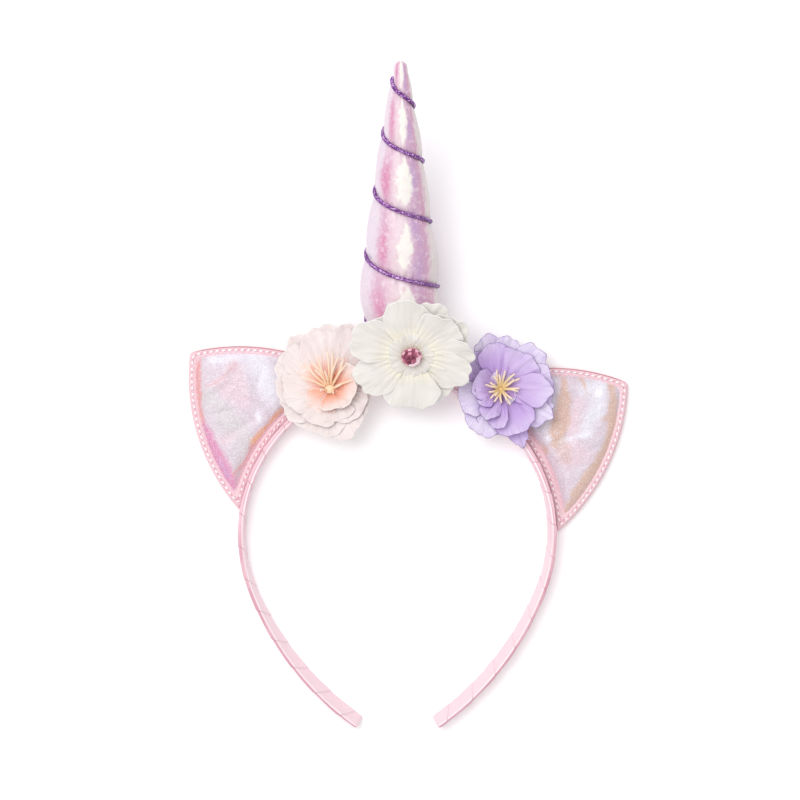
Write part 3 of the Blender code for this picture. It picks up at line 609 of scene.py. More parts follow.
# The backing's rows in the same way, from its top over the rolled edge to its underside.
BACKING_ROWS = [
    (0.9, 1.2), (-0.2, 1.2), (-0.46, 1.0), (-0.52, 0.6), (-0.46, 0.2), (-0.2, 0.0), (1.2, 0.12),
    (2.4, -0.12), (4.0, -0.55), (7.0, -0.9),
]
# Which side of its axis each ear's upper edge is on, where the backing's rim is coloured a darker rose.
RIM_SIDE = {"left": -1, "right": 1}


def ear_paint():
    """The film's tint with fine dull specks and fine painted glints."""
    paint = Paint("iridescent_ear_cloth", 0.42, "ear_cloth", Sheen_Weight=0.1)
    fleck = paint.grain(1500.0, 2.0, 0.75)
    # Bright specks: painted glints of the film's sparkle.
    colour = paint.speckle(paint.tint(), paint.grain(2450.0, 2.0, 0.75), 0.50, 0.66, 0.72, rgb(246, 246, 252))
    colour = paint.speckle(colour, fleck, 0.52, 0.68, 0.60, rgb(196, 178, 192))
    colour = paint.speckle(colour, paint.grain(300.0, 3.0, 0.65), 0.56, 0.80, 0.30, rgb(216, 184, 200))
    return paint.finish(colour, paint.relief(fleck, 0.07 * MM))


def backing_paint():
    """Woven pink cloth that turns rose where its tint says."""
    paint = Paint("rose_backing", 0.75, "ear_backing")
    weave = paint.grain(1700.0, 1.0)
    pale = paint.blend(weave, rgb(236, 190, 199), rgb(246, 210, 217))
    rose = paint.blend(weave, rgb(196, 130, 138), rgb(214, 156, 162))
    return paint.finish(paint.blend(paint.tint("Fac"), pale, rose), paint.relief(weave, 0.08 * MM))


def thread_paint():
    """Twisted white thread with a hint of pink."""
    paint = Paint("stitch_thread", 0.5, "ear_cloth")
    twist = paint.grain(2600.0, 1.0)
    colour = paint.blend(twist, rgb(252, 234, 238), rgb(255, 250, 251))
    return paint.finish(colour, paint.relief(twist, 0.05 * MM))


def pad_rise(depth):
    """How far the pad has risen at a depth in from its seam: steep at first, then nearly flat."""
    share = np.clip((depth - EAR_BORDER) / EAR_PAD_WIDTH, 0.0, 2.4)
    return 0.94 * (1 - (1 - np.minimum(share, 1.0)) ** 2.6) + 0.06 * share / 2.4


def make_ear_face(side, paint):
    """The face as rings that run in from its edge: border rows first, then the pad to its middle."""
    rings = [ear_outline(inset * MM, inset * MM, 2.2 * MM - 0.3 * inset * MM) for inset, _ in BORDER_ROWS]
    heights = [np.full(len(rings[0]), EAR_FACE_LOW + rise * MM) for _, rise in BORDER_ROWS]
    seam = rings[-1]
    for share in np.linspace(0, 1, PAD_ROWS)[1:] ** 1.25:
        own = seam + (EAR_MIDDLE - seam) * share
        depth = ear_depth(own)
        inner = ease((depth - EAR_BORDER) / (4.0 * MM))
        around = np.arctan2(*(own - EAR_MIDDLE).T) * 14
        gather = soft_noise(around + 90, depth / (5 * MM), 31) * (1 - inner) * ease(share / 0.05)
        crumple = cloth_noise(own, 3.4, 3.4, 33) + 0.4 * cloth_noise(own, 1.5, 1.5, 34)
        ridge = np.exp(-np.abs(cloth_noise(own, 8.5, 5.5, 35, 3)) / 0.10)
        ridge += 0.6 * np.exp(-np.abs(cloth_noise(own, 6.0, 7.5, 36, 5)) / 0.08)
        rise = EAR_BORDER_TOP - 0.45 * MM + (EAR_PUFF + 0.2 * MM) * pad_rise(depth) + 0.30 * MM * gather
        fold = folds(to_table(own, side), EAR_FOLDS[side]) + MM * (0.34 * ridge + 0.11 * crumple)
        rings.append(own)
        heights.append(rise + inner * fold)
    own = np.stack(rings)
    place = to_table(own, side)
    underside = at_height(place[:1], EAR_FACE_LOW)
    under_middle = np.broadcast_to([*to_table(EAR_MIDDLE, side), EAR_FACE_LOW], underside.shape)
    grid = np.concatenate([under_middle, underside, at_height(place, np.stack(heights))])
    depth = ear_depth(own)
    border = 1 - ease((np.minimum(depth, from_seat(own) - 0.9 * MM) - 2.45 * MM) / (0.35 * MM))
    # Painted shade along the stitch line, in the stitches' dents, which shows between them.
    shaded_hem = lay(BORDER_FILM, STITCH_SHADE, bell(depth - STITCH_INSET, 0.5 * MM))
    film = lay(strokes(place, FILM[side]), shaded_hem, border)
    film = np.concatenate([np.broadcast_to(BORDER_FILM, (2, *film.shape[1:])), film])
    face = make_piece(f"{side}_ear_pad", [grid], paint, [f"{side}_ear_face"], tints=[film])


def make_ear_backing(side, paint):
    """The backing: a thin plate of cloth with a rolled edge, a little puffed underneath."""
    own = np.stack([ear_outline(inset * MM, max(inset, 0) * MM, 1.6 * MM) for inset, _ in BACKING_ROWS])
    heights = np.array([[EAR_BACK_LOW + rise * MM] for _, rise in BACKING_ROWS])
    grid = at_height(to_table(own, side), heights)
    upper = ease(RIM_SIDE[side] * own[..., 1] / (4 * MM)) * ease(from_seat(own) / (2 * MM))
    tint = np.repeat(upper[..., None], 4, axis=-1)
    tint = np.concatenate([tint[:1] * 0, tint, tint[:1] * 0])
    middle = to_table(EAR_MIDDLE, side)
    top = np.broadcast_to([*middle, EAR_BACK_TOP], grid[:1].shape)
    bottom = np.broadcast_to([*middle, EAR_BACK_LOW - 1.1 * MM], grid[:1].shape)
    whole = np.concatenate([top, grid, bottom])
    make_piece(f"{side}_ear_backing", [whole], paint, [f"{side}_ear_back"], tints=[tint])


def capsules(middles, headings, length, radius, rise=0.0, sides=7, rows=7):
    """Many short threads: an ellipsoid each, long along its heading in the table's plane."""
    along, around = np.meshgrid(np.linspace(0, math.pi, rows), circle(sides), indexing="ij")
    x = -length / 2 * np.cos(along)
    y = radius * np.sin(along) ** 0.8 * np.cos(around)
    z = radius * np.sin(along) ** 0.8 * np.sin(around) + rise * np.sin(along)
    cos, sin = np.cos(headings)[:, None, None], np.sin(headings)[:, None, None]
    grids = np.stack([x * cos - y * sin, x * sin + y * cos, np.broadcast_to(z, (len(middles), *z.shape))], -1)
    return grids + middles[:, None, None, :]


def make_stitches(side, paint):
    """Stitches at an even pitch along a line inside the ear's edge, each lying in its small dent."""
    line = ear_outline(STITCH_INSET, STITCH_INSET, 1.7 * MM, 160)
    walked = walk(line)
    count = round(walked[-1] / STITCH_PITCH)
    stops = (np.arange(count) + 0.5) * walked[-1] / count
    place, beyond = (to_table(sample(line, walked, at), side) for at in (stops, stops + 0.5 * MM))
    heading = np.arctan2(*(beyond - place).T[::-1]) + STITCH_TURN
    middles = at_height(place, EAR_FACE_LOW + STITCH_LIFT)
    grids = capsules(middles, heading, STITCH_LENGTH, STITCH_RADIUS, 0.1 * MM)
    make_piece(f"{side}_ear_stitches", list(grids), paint)


ear_cloth, ear_backing, ear_thread = ear_paint(), backing_paint(), thread_paint()
for side in EAR_AXIS:
    make_ear_backing(side, ear_backing)
    make_ear_face(side, ear_cloth)
    make_stitches(side, ear_thread)

# The horn: a stuffed cone of iridescent cloth, drawn in by the cord that is wound round it, so that it
# puffs between the turns. It is sewn to the crown and bends up off the table near its base. The cord is a
# round braid of purple metallic yarn, wound tight in the groove. Its lower end is tucked under the cloth
# at the foot, and its upper end is glued at the tip. It is held all the way, so it isn't a free cord.

HORN_LENGTH = 125.0 * MM
HORN_RADIUS = 16.0 * MM
HORN_TIP = 2.2 * MM
HORN_BODY = HORN_LENGTH - HORN_TIP
HORN_LEAN = math.radians(17)
HORN_BEND = 14.0 * MM
HORN_START = np.array([1.2 * MM, BAND_THICKNESS / 2 + 0.3 * MM, 11.2 * MM])
# Rows: (share of the length from the base, share of the largest radius).
HORN_PROFILE = [
    (0.00, 0.540), (0.06, 0.660), (0.12, 0.815), (0.18, 0.940), (0.25, 1.000), (0.36, 0.950),
    (0.48, 0.810), (0.60, 0.680), (0.72, 0.550), (0.79, 0.450), (0.85, 0.365), (0.91, 0.290),
    (0.96, 0.195), (1.00, 0.150),
]
CORD_RADIUS = 0.80 * MM
CORD_TURNS = 5
CORD_PITCH_RATIO = 0.632
CORD_TUCK, CORD_START, CORD_END = 0.06, 0.20, 4.80
CORD_SINK, CORD_TIP_SINK = 1.5 * MM, 0.35 * MM
PITCH_AT_BASE = 2 * HORN_BODY / (CORD_TURNS * (1 + CORD_PITCH_RATIO))
PITCH_FALL = (1 - CORD_PITCH_RATIO) / (2 * CORD_TURNS)
BRAID_PITCH = 1.5 * MM
BRAID_STRANDS = 4
STRAND_WAVE = 12.566
HORN_ROWS, HORN_COLUMNS, CORD_POINTS = 380, 240, 900


def horn_frame(travel):
    """Points of the horn's centre line and its up direction there: an arc off the table, then straight."""
    angle = np.minimum(travel, HORN_BEND) / HORN_BEND * HORN_LEAN
    bend = HORN_BEND / HORN_LEAN
    beyond = np.maximum(travel - HORN_BEND, 0.0)
    y = bend * np.sin(angle) + beyond * np.cos(angle)
    z = bend * (1 - np.cos(angle)) + beyond * np.sin(angle)
    centre = HORN_START + np.stack([np.zeros_like(y), y, z], -1)
    return centre, np.stack([np.zeros_like(y), -np.sin(angle), np.cos(angle)], -1)


def horn_crest(travel):
    """The horn's radius at the fullest part of a puff: a cubic through the rows of its profile."""
    at, share = np.array(HORN_PROFILE).T
    place = np.clip(travel / HORN_LENGTH, 0.0, 1.0)
    row = np.clip(np.searchsorted(at, place, side="left") - 1, 0, len(at) - 2)
    before, after = np.maximum(row - 1, 0), np.minimum(row + 2, len(at) - 1)
    width = at[row + 1] - at[row]
    part = (place - at[row]) / width
    leave = (share[row + 1] - share[before]) / (at[row + 1] - at[before]) * width
    arrive = (share[after] - share[row]) / (at[after] - at[row]) * width
    value = (2 * part**3 - 3 * part**2 + 1) * share[row] + (part**3 - 2 * part**2 + part) * leave
    return HORN_RADIUS * (value + (3 * part**2 - 2 * part**3) * share[row + 1] + (part**3 - part**2) * arrive)


def cord_sink(travel):
    """How far the cord's centre line is under the crest."""
    return CORD_SINK + (CORD_TIP_SINK - CORD_SINK) * travel / HORN_BODY


def groove_travel(turns):
    """How far from the base the groove is after some turns. Its pitch falls evenly toward the tip."""
    return PITCH_AT_BASE * (turns - PITCH_FALL * turns**2)


def horn_turns(travel):
    """The other way round: how many turns the groove has made by some way from the base."""
    travel = np.minimum(travel, HORN_BODY)
    return (1 - np.sqrt(np.maximum(1 - 4 * PITCH_FALL * travel / PITCH_AT_BASE, 0.0))) / (2 * PITCH_FALL)


def puff_place(travel, angle):
    """A number whose whole part says which puff a place is on, and the rest how far up it, as a share."""
    return horn_turns(travel) - angle / (2 * math.pi) - 0.25


def horn_point(angle, travel, radius):
    """Points at a radius round the centre line. Angle 0 is at +X and a quarter turn is on top."""
    centre, up = horn_frame(travel)
    side = np.array([1.0, 0.0, 0.0])
    return centre + radius[..., None] * (np.cos(angle)[..., None] * side + np.sin(angle)[..., None] * up)


def horn_noise(travel, angle, cells, pitch, seed):
    """Soft noise on the horn, with some cells round it and a pitch along it in mm."""
    return soft_noise(angle / (2 * math.pi) * cells, travel / (pitch * MM), seed, cells)


def horn_surface(travel, angle):
    """The stuffed horn: the crest's radius less a groove along the cord's path, and creases beside it."""
    between = puff_place(travel, angle) % 1.0
    pitch = PITCH_AT_BASE * (1 - 2 * PITCH_FALL * horn_turns(travel))
    from_groove = np.minimum(between, 1 - between) * pitch
    share = np.clip((from_groove - 1.0 * MM) / (pitch / 2 - 1.0 * MM), 0.0, 1.0)
    puff = np.sin(math.pi / 2 * share) ** 0.56
    fade = ease(travel / groove_travel(CORD_START))
    fade *= ease((HORN_BODY - travel) / (HORN_BODY - groove_travel(CORD_END)))
    depth = cord_sink(travel) + 0.75 * CORD_RADIUS
    radius = horn_crest(np.minimum(travel, HORN_BODY)) - depth * (1 - puff) * fade
    beside = bell(from_groove, 3.4 * MM) * ease(from_groove / (1.2 * MM)) * fade
    crease = horn_noise(travel, angle, 46, 7, 41) + 0.6 * horn_noise(travel, angle, 90, 4, 42)
    ripple = 0.62 * crease * beside + 0.16 * horn_noise(travel, angle, 16, 5, 43)
    ripple += 0.03 * horn_noise(travel, angle, 120, 0.9, 44)
    radius += horn_crest(travel) / HORN_RADIUS * MM * ripple
    over = np.clip((travel - HORN_BODY) / HORN_TIP, 0.0, 1.0)
    return horn_point(angle, travel, radius * np.sqrt(1 - over**2))


# Rows across the horn as seen from above: how far right of its middle, as a share, and the film's colour.
# The colour goes by which way the surface faces, so it is painted iridescent reflection, with pale rims at
# both sides.
HORN_REFLECTION_BANDS = [
    (-1.00, rgb(222, 206, 220)), (-0.78, rgb(226, 210, 222)), (-0.66, rgb(218, 188, 206)),
    (-0.52, rgb(212, 170, 194)), (-0.38, rgb(218, 182, 200)), (-0.20, rgb(226, 200, 210)),
    (-0.02, rgb(228, 206, 213)), (0.22, rgb(222, 194, 207)), (0.32, rgb(206, 168, 194)),
    (0.52, rgb(200, 156, 188)), (0.76, rgb(206, 154, 180)), (0.84, rgb(218, 196, 202)),
    (0.90, rgb(220, 210, 207)), (1.00, rgb(214, 206, 203)),
]
# The cream is a painted highlight; the other colours are tones of painted iridescent reflection.
CREAM_HIGHLIGHT, MAGENTA_REFLECTION, VIOLET_REFLECTION = rgb(243, 240, 232), rgb(212, 122, 166), rgb(186, 154, 200)
FLANK_ROSE_REFLECTION = rgb(216, 172, 202)


def painted_horn_reflection(travel, angle):
    """The film's colour as painted iridescent reflection: bands across the horn, with one cream lens of
    painted highlight and drifting tones on each puff.

    A lens is widest halfway between two turns of the cord, and its right side is the more ragged. Both
    flanks have a rose bloom of painted reflection and a painted highlight lens of their own, a little
    under the middle of the horn's height.
    """
    turns = puff_place(travel, angle)
    between, puff = turns % 1.0, np.floor(turns)
    drift = horn_noise(travel, angle, 10, 9, 45)
    ragged = horn_noise(travel, angle, 60, 1.9, 46) + 0.7 * horn_noise(travel, angle, 130, 0.8, 47)
    moved = np.cos(angle) + 0.06 * drift + 0.045 * ragged
    places, colours = zip(*HORN_REFLECTION_BANDS)
    film = np.stack([np.interp(moved, places, part) for part in np.array(colours).T], -1)
    # Magenta on the left and violet on the right of each puff, as painted iridescent reflection.
    left = bell(moved + 0.52, 0.16) * np.sin(math.pi * np.clip(between / 0.8, 0, 1)) * (0.75 + 0.4 * drift)
    right = bell(moved - 0.5, 0.2) * ease(0.5 + 0.9 * drift - 0.3 * np.cos(2.1 * puff))
    film = lay(film, MAGENTA_REFLECTION, np.clip(left, 0, 0.8))
    film = lay(film, VIOLET_REFLECTION, np.clip(0.6 * right, 0, 0.6))
    # A cream lens of painted highlight on each puff.
    off = moved - (0.12 + 0.10 * (between - 0.5) + 0.04 * drift)
    half = 0.235 * np.sin(math.pi * between) ** 1.3 * (1 + 0.2 * np.sin(3.7 * puff + 1)) - 0.02
    side, tear = np.where(off > 0, 1.35, 1.0), np.where(off > 0, 0.09, 0.05) * ragged
    lens = ease((half - np.abs(off) / side + tear) / 0.12 + 0.45) * (np.sin(angle) > 0)
    film = lay(film, CREAM_HIGHLIGHT, 0.95 * lens * ease((between - 0.04) / 0.16) * ease((0.97 - between) / 0.12))
    # Painted reflection and painted highlight on both flanks, for the sides out of sight from above.
    level = np.sin(angle) + 0.2
    film = lay(film, FLANK_ROSE_REFLECTION, 0.8 * bell(level, 0.34) * ease(0.6 + drift))
    flank = ease((0.17 * np.sin(math.pi * between) - np.abs(level) + 0.05 * ragged) / 0.07 + 0.3)
    return lay(film, CREAM_HIGHLIGHT, 0.8 * flank)


def horn_paint():
    """The film's tint with painted highlights where the cloth crumples and fine painted glints."""
    coat = {"Sheen_Weight": 0.15, "Coat_Weight": 0.12, "Coat_Roughness": 0.3}
    paint = Paint("iridescent_horn_cloth", 0.40, "horn_cloth", **coat)
    grain_and_glint, crumple_and_sheen = paint.grain(2000.0, 2.0, 0.75), paint.grain(420.0, 4.0, 0.7)
    # Pale patches are painted highlights on the crumples, and pale specks are painted glints.
    colour = paint.speckle(paint.tint(), crumple_and_sheen, 0.50, 0.66, 0.45, rgb(238, 222, 228))
    colour = paint.speckle(colour, grain_and_glint, 0.5, 0.72, 0.40, rgb(246, 236, 241))
    return paint.finish(colour, paint.relief(grain_and_glint, 0.08 * MM, paint.relief(crumple_and_sheen, 0.25 * MM)))


horn_rows = np.concatenate([[0.0], np.linspace(0.05 * MM, HORN_BODY, HORN_ROWS)])
horn_rows = np.concatenate([horn_rows, HORN_BODY + HORN_TIP * np.sin(np.linspace(0.1, math.pi / 2, 12))])
horn_travel, horn_angle = np.meshgrid(horn_rows, circle(HORN_COLUMNS), indexing="ij")
horn_grid = horn_surface(horn_travel, horn_angle)
horn_grid = np.concatenate([np.broadcast_to(HORN_START, horn_grid[:1].shape), horn_grid])
horn_reflection_tint = painted_horn_reflection(horn_travel, horn_angle)
horn_reflection_tint = np.concatenate([horn_reflection_tint[:1], horn_reflection_tint])
horn = make_piece("stuffed_horn", [horn_grid], horn_paint(), ["horn"], tints=[horn_reflection_tint])


def braid_surface(centre, outward, radius, rows_per_turn=10, sides=20):
    """A braid along a line: a tube whose radius swells where strands of either way round lie on top."""
    walked = walk(centre)
    stops = np.linspace(0, walked[-1], int(walked[-1] / BRAID_PITCH * rows_per_turn))
    around, turns = circle(sides), stops[:, None] / BRAID_PITCH
    one = np.abs(np.sin(BRAID_STRANDS / 2 * around + 2 * math.pi * turns))
    other = np.abs(np.sin(BRAID_STRANDS / 2 * around - 2 * math.pi * turns))
    swell = radius * (0.84 + 0.18 * np.maximum(one, other) ** 0.7)
    ends = np.minimum(stops, walked[-1] - stops)[:, None] / (0.9 * radius)
    swell = swell * np.sqrt(1 - (1 - np.clip(ends, 0.0, 1.0)) ** 2)
    grid = tube(sample(centre, walked, stops), sample(outward, walked, stops), swell, around)
    return grid, np.stack(np.broadcast_arrays(around / (2 * math.pi), turns), -1)


def cord_paint():
    """Metallic yarn in slanting strands, with painted shade between them and painted glints."""
    paint = Paint("metallic_cord", 0.22, "cord", Metallic=0.6)
    around, along, _ = paint.parts(paint.uv())
    lean = paint.maths("MULTIPLY_ADD", around, 2.0, along)
    strand = paint.maths("SINE", paint.maths("MULTIPLY", lean, STRAND_WAVE))
    # Dark between the strands is painted shade in the gaps.
    colour = paint.blend(paint.fit(strand, -0.5, 0.5), rgb(44, 2, 58), rgb(156, 78, 186))
    # Painted glints.
    colour = paint.speckle(colour, paint.grain(1900.0, 1.0, 0.6), 0.54, 0.62, 1.0, rgb(240, 198, 248))
    return paint.finish(colour, paint.relief(strand, 0.06 * MM))


cord_turn = np.linspace(CORD_TUCK, CORD_END, CORD_POINTS)
cord_travel = groove_travel(cord_turn)
cord_angle = 2 * math.pi * cord_turn - math.pi / 2
cord_line = horn_point(cord_angle, cord_travel, horn_crest(cord_travel) - cord_sink(cord_travel))
cord_out = horn_point(cord_angle, cord_travel, horn_crest(cord_travel) + 5 * MM) - cord_line
cord_grid, cord_uv = braid_surface(cord_line, cord_out, CORD_RADIUS)
make_piece("braided_cord", [cord_grid], cord_paint(), ["horn_cord"], uvs=[cord_uv])

# The flowers: rounds of cloth petals on a small calyx, each with its own frame, in mm.

# For each flower, the place of its foot in mm, and its tilt about X in degrees.
FLOWERS = {
    "white": ((5.5, 10.3, 26.3), 27),
    "peach": ((-26.8, -4.6, 11.15), -12),
    "purple": ((40.8, -4.3, 10.65), -4),
}
PETAL_THICKNESS = 0.28 * MM


def petal(row, seed, ripple=0.6, waves=2.3, pleat=0.25, ruffle=1.0, fold=0.25, rows=31, columns=41):
    """One petal in its flower's frame, from a row that gives its angle, length and half width, then how
    far it cups up, tilts over its neighbour, rolls at both sides, lies above the layer and curls back at
    its end, and its share of painted shade, which thins toward its rim.

    A square grid is drawn to a disc, which is stretched to the petal's length and width and narrowed
    toward the flower's middle. The rim goes in and out a little. The height is the sum of those rises,
    waves that grow toward the rim, fine pleats that fan out of the middle and a few sharp creases along
    it. Lengths are in mm.
    """
    angle, length, half_width, cup, tilt, roll, lift, curl, shading_tone = row
    one, other = np.meshgrid(np.linspace(-1, 1, rows), np.linspace(-1, 1, columns), indexing="ij")
    ahead, aside = one * np.sqrt(1 - other**2 / 2), other * np.sqrt(1 - one**2 / 2)
    rim, round_it = np.hypot(ahead, aside), np.arctan2(aside, ahead)
    phase = np.random.default_rng(seed).uniform(0, 2 * math.pi, 8)
    edge = 0.030 * np.sin(3 * round_it + phase[0]) + 0.022 * np.sin(6 * round_it + phase[1])
    edge += 0.012 * np.sin(13 * round_it + phase[6]) - 0.05 * bell(round_it - 0.5 * np.sin(phase[7]), 0.22)
    swell = 1 + ruffle * edge * rim**3
    share = 0.03 + 0.97 * np.maximum(1 + ahead * swell, 0.0) / 2
    reach = length * share
    spread = half_width * aside * swell * (0.34 + 0.66 * ease((share + 0.08) / 0.85))
    height = lift + cup * share**1.7 + tilt * aside * share + roll * aside**2 * share
    height -= curl * ease((share - 0.62) / 0.42) ** 1.3
    outer = rim**2.2 * ease(share / 0.6)
    height += ripple * outer * np.sin(waves * round_it + phase[2])
    height += 0.5 * ripple * outer * np.sin(2.3 * waves * round_it + phase[3])
    height += 0.22 * ripple * rim**4 * np.sin(5.1 * waves * round_it + phase[6])
    fan = np.arctan2(spread, reach + 0.12 * length)
    height += pleat * np.sin(44 * fan + phase[4]) * bell(share, 0.5) * ease(share / 0.15)
    height += 0.9 * pleat * soft_noise(fan * 8.5 + 30, share * 2.2 + phase[5], seed + 200) * share
    crease = soft_noise(fan * 3.4 + 0.7 * share + 20, share * 0.9 + phase[5], seed + 300)
    height += fold * bell(crease, 0.3) * ease(share / 0.35)
    height += 0.20 * soft_noise(reach / 3.6 + 9, spread / 2.2 + 19, seed + 100)
    turn = math.radians(angle)
    x = reach * math.cos(turn) - spread * math.sin(turn)
    y = reach * math.sin(turn) + spread * math.cos(turn)
    # The third part is the petal's painted shade, thinned toward its rim.
    facts = np.stack([rim, share, shading_tone * (1 - 0.7 * share**3), np.ones_like(rim)], -1)
    return np.stack([x, y, height], -1) * MM, np.stack([fan, share], -1), facts


def to_flower(grids, flower):
    """Turns grids from a flower's frame by its tilt and moves them to its place."""
    place, tilt = FLOWERS[flower]
    turn = math.radians(tilt)
    moved = []
    for x, y, z in (np.moveaxis(grid, -1, 0) for grid in grids):
        ahead, up = y * math.cos(turn) - z * math.sin(turn), y * math.sin(turn) + z * math.cos(turn)
        moved.append(np.stack([x, ahead, up], -1) + np.array(place) * MM)
    return moved


def calyx(depth, radius=4.4, top=6.0):
    """The small cone of glued cloth under a flower, closed at both ends."""
    return lathe([0.0, radius, radius + 0.4, top, 0.0], [-depth, -depth, -depth * 0.6, 0.1, 0.1], circle(32))


def petal_cloth(name, slot, heart, body, shade, rim, rim_width, heart_reach, heart_blur=0.3, dark=None):
    """Cloth for petals: a heart colour that fades along the petal, streaks of painted shade that fan out,
    painted shade by each petal's row, and a rim line.
    """
    paint = Paint(name, 0.8, slot, Specular_IOR_Level=0.25)
    from_rim, along, shading_tone = paint.parts(paint.tint("Vector"))
    streak = paint.grain(1.0, 3.0, 0.6, paint.stretch(paint.uv(), (21.0, 1.6, 1.0)))
    colour = paint.speckle(body, paint.grain(130.0), 0.35, 0.7, 0.45, shade)
    # Streaks of painted shade along the petal's creases.
    colour = paint.speckle(colour, streak, 0.48, 0.66, 0.6, shade)
    # Painted shade by each petal's share of it.
    colour = paint.blend(shading_tone, colour, dark or shade)
    ragged = paint.maths("MULTIPLY_ADD", streak, 0.3, along)
    near = heart_reach + 0.15
    colour = paint.blend(paint.fit(ragged, near + heart_blur, near - 0.1), colour, heart)
    colour = paint.blend(paint.fit(from_rim, 1 - rim_width, 1.0), colour, rim)
    weave = paint.relief(paint.grain(2300.0, 1.0), 0.05 * MM, paint.relief(streak, 0.3 * MM))
    return paint.finish(colour, weave)


def petal_layer(flower, part, petals, level, paint, rests_on, extra=(), seed=0, **ways):
    """A layer of petals, sewn together at the middle, each from a row that petal reads.

    The petals are cut from a square of cloth a quarter larger than they are together.
    """
    grids, uvs, facts = zip(*(petal(row, seed + order * 11, **ways) for order, row in enumerate(petals)))
    for order, grid in enumerate(grids):
        grid[..., 2] += level * MM + 0.04 * MM * order
    uvs = [*uvs, *(np.zeros((*grid.shape[:2], 2)) for grid in extra)]
    facts = [*facts, *(np.broadcast_to([0.5, 0.6, 0.5, 1.0], (*grid.shape[:2], 4)) for grid in extra)]
    placed = to_flower([*grids, *extra], flower)
    name, node = f"{flower}_{part}_layer", f"{flower}_{part}_petals"
    layer = make_piece(name, placed, paint, [node], closed=False, uvs=uvs, tints=facts)
    cloth = layer.modifiers.new("cloth", "SOLIDIFY")
    cloth.thickness = PETAL_THICKNESS
    cloth.offset = 0.0


# Ways for a petal to lie: tilt, roll, lift and curl.
LOW, OPEN, EASY = (0.4, 0.2, 0.0, 0.2), (0.5, 0.3, 0.0, 0.3), (0.6, 0.4, 0.0, 0.4)
ROUND, DEEP = (0.7, 0.5, 0.0, 0.5), (0.2, 0.2, -0.7, 0.5)

# The white flower: two rounds of ivory petals and a small pleated heart, glued on the horn's foot, with a
# pink foil-backed stone in the middle.

IVORY, IVORY_SHADE, IVORY_RIM = rgb(234, 230, 224), rgb(224, 220, 211), rgb(240, 238, 235)
ivory = petal_cloth(
    "ivory_petal_cloth", "white_petal", rgb(243, 237, 216), IVORY, IVORY_SHADE, IVORY_RIM, 0.06, 0.30
)
# Rows of petals: angle, length, half width and cup, then the way it lies, then its share of painted shade.
WHITE_BACK = [
    (63, 24.0, 9.0, 1.6, *OPEN, 0.1), (30, 24.5, 10.5, 1.6, *OPEN, 0.0),
    (-56, 23.6, 9.6, 1.4, *OPEN, 0.1), (-118, 21.4, 10.5, 1.6, *OPEN, 0.0),
    (128, 21.5, 10.5, 1.6, *OPEN, 0.0), (188, 18.0, 9.0, 1.6, *OPEN, 0.0),
]
WHITE_FRONT = [
    (158, 25.8, 9.8, 1.8, *ROUND, 0.0), (97, 24.4, 10.6, 2.0, *ROUND, 0.1),
    (41, 22.4, 10.6, 2.2, *ROUND, 0.0), (1, 24.4, 8.0, 1.6, *ROUND, 0.0),
    (-24, 25.0, 8.6, 1.8, *ROUND, 0.0), (-90, 24.2, 12.0, 1.8, 0.7, 0.5, 0.0, 0.6, 0.0),
    (-148, 25.0, 9.6, 1.8, *ROUND, 0.0),
]
WHITE_HEART = [(20 + 60 * step, 9.4, 5.8, 0.5, 0.1, 0.1, 0.0, 0.5, 0.0) for step in range(6)]
petal_layer(
    "white", "back", WHITE_BACK, 0.3, ivory, "stuffed_horn", [calyx(3.6)], 11, ruffle=1.3, ripple=0.5
)
petal_layer(
    "white", "front", WHITE_FRONT, 1.7, ivory, "white_back_layer", seed=21, pleat=0.3, ruffle=1.3, ripple=0.55
)
petal_layer(
    "white", "heart", WHITE_HEART, 2.1, ivory, "white_front_layer", seed=31,
    ripple=0.15, pleat=0.45, rows=19, columns=31,
)

STONE_RADIUS, STONE_LEVEL, STONE_SIDES = 4.15, 4.0, 16
STONE_LIT_FROM = math.radians(-50)
# Rows of a ring's radius as a share, and its height in mm.
STONE_RINGS = [
    (0.0, 0.0), (0.94, 0.0), (1.0, 0.35), (1.0, 0.85),
    (0.84, 1.75), (0.68, 2.35), (0.46, 2.9), (0.0, 3.0),
]
# Colours of the facets' painted light, from painted shade to painted highlight.
STONE_LIGHT_TONES = [
    (0.0, rgb(96, 30, 56)), (0.25, rgb(142, 62, 90)), (0.5, rgb(205, 120, 145)),
    (0.75, rgb(238, 178, 196)), (1.0, rgb(252, 236, 240)),
]


def stone_facets():
    """The stone as flat facets between rings of corners, each facet with its share of painted light in its
    UV.
    """
    radii, heights = np.array(STONE_RINGS).T
    corner = circle(STONE_SIDES)
    ring = lathe(radii * STONE_RADIUS, heights + STONE_LEVEL, corner)
    random = np.random.default_rng(7)
    grids, uvs = [], []
    for row in range(len(radii) - 1):
        for column in range(STONE_SIDES):
            # Painted reflections: the rim's facets alternate light and dark, and upper facets facing
            # STONE_LIT_FROM are lighter.
            toward = math.cos(corner[column] + math.pi / STONE_SIDES - STONE_LIT_FROM)
            if row < 4:
                shading_tone = 0.35 + 0.45 * ((column + row) % 2) - 0.1 * random.random()
            elif row == 6:
                shading_tone = 0.06 + 0.22 * (column % 4 == 0) + 0.3 * (toward > 0.75)
            elif row == 5:
                shading_tone = 0.22 + 0.12 * random.random() + 0.6 * (toward > 0.35)
            else:
                shading_tone = 0.55 + 0.5 * toward + 0.1 * random.random()
            grids.append(ring[row : row + 2, column : column + 2])
            uvs.append(np.broadcast_to([shading_tone, 0.5], (2, 2, 2)))
    return grids, uvs


stone = Paint("pink_stone", 0.08, "stone", Metallic=0.25, Coat_Weight=0.35, Coat_Roughness=0.03)
stone.finish(stone.ramp(stone.parts(stone.uv())[0], STONE_LIGHT_TONES))
stone_grids, stone_uvs = stone_facets()
stone_grids = to_flower(stone_grids, "white")
make_piece("pink_rhinestone", stone_grids, stone, ["rhinestone"], uvs=stone_uvs, smooth=False)

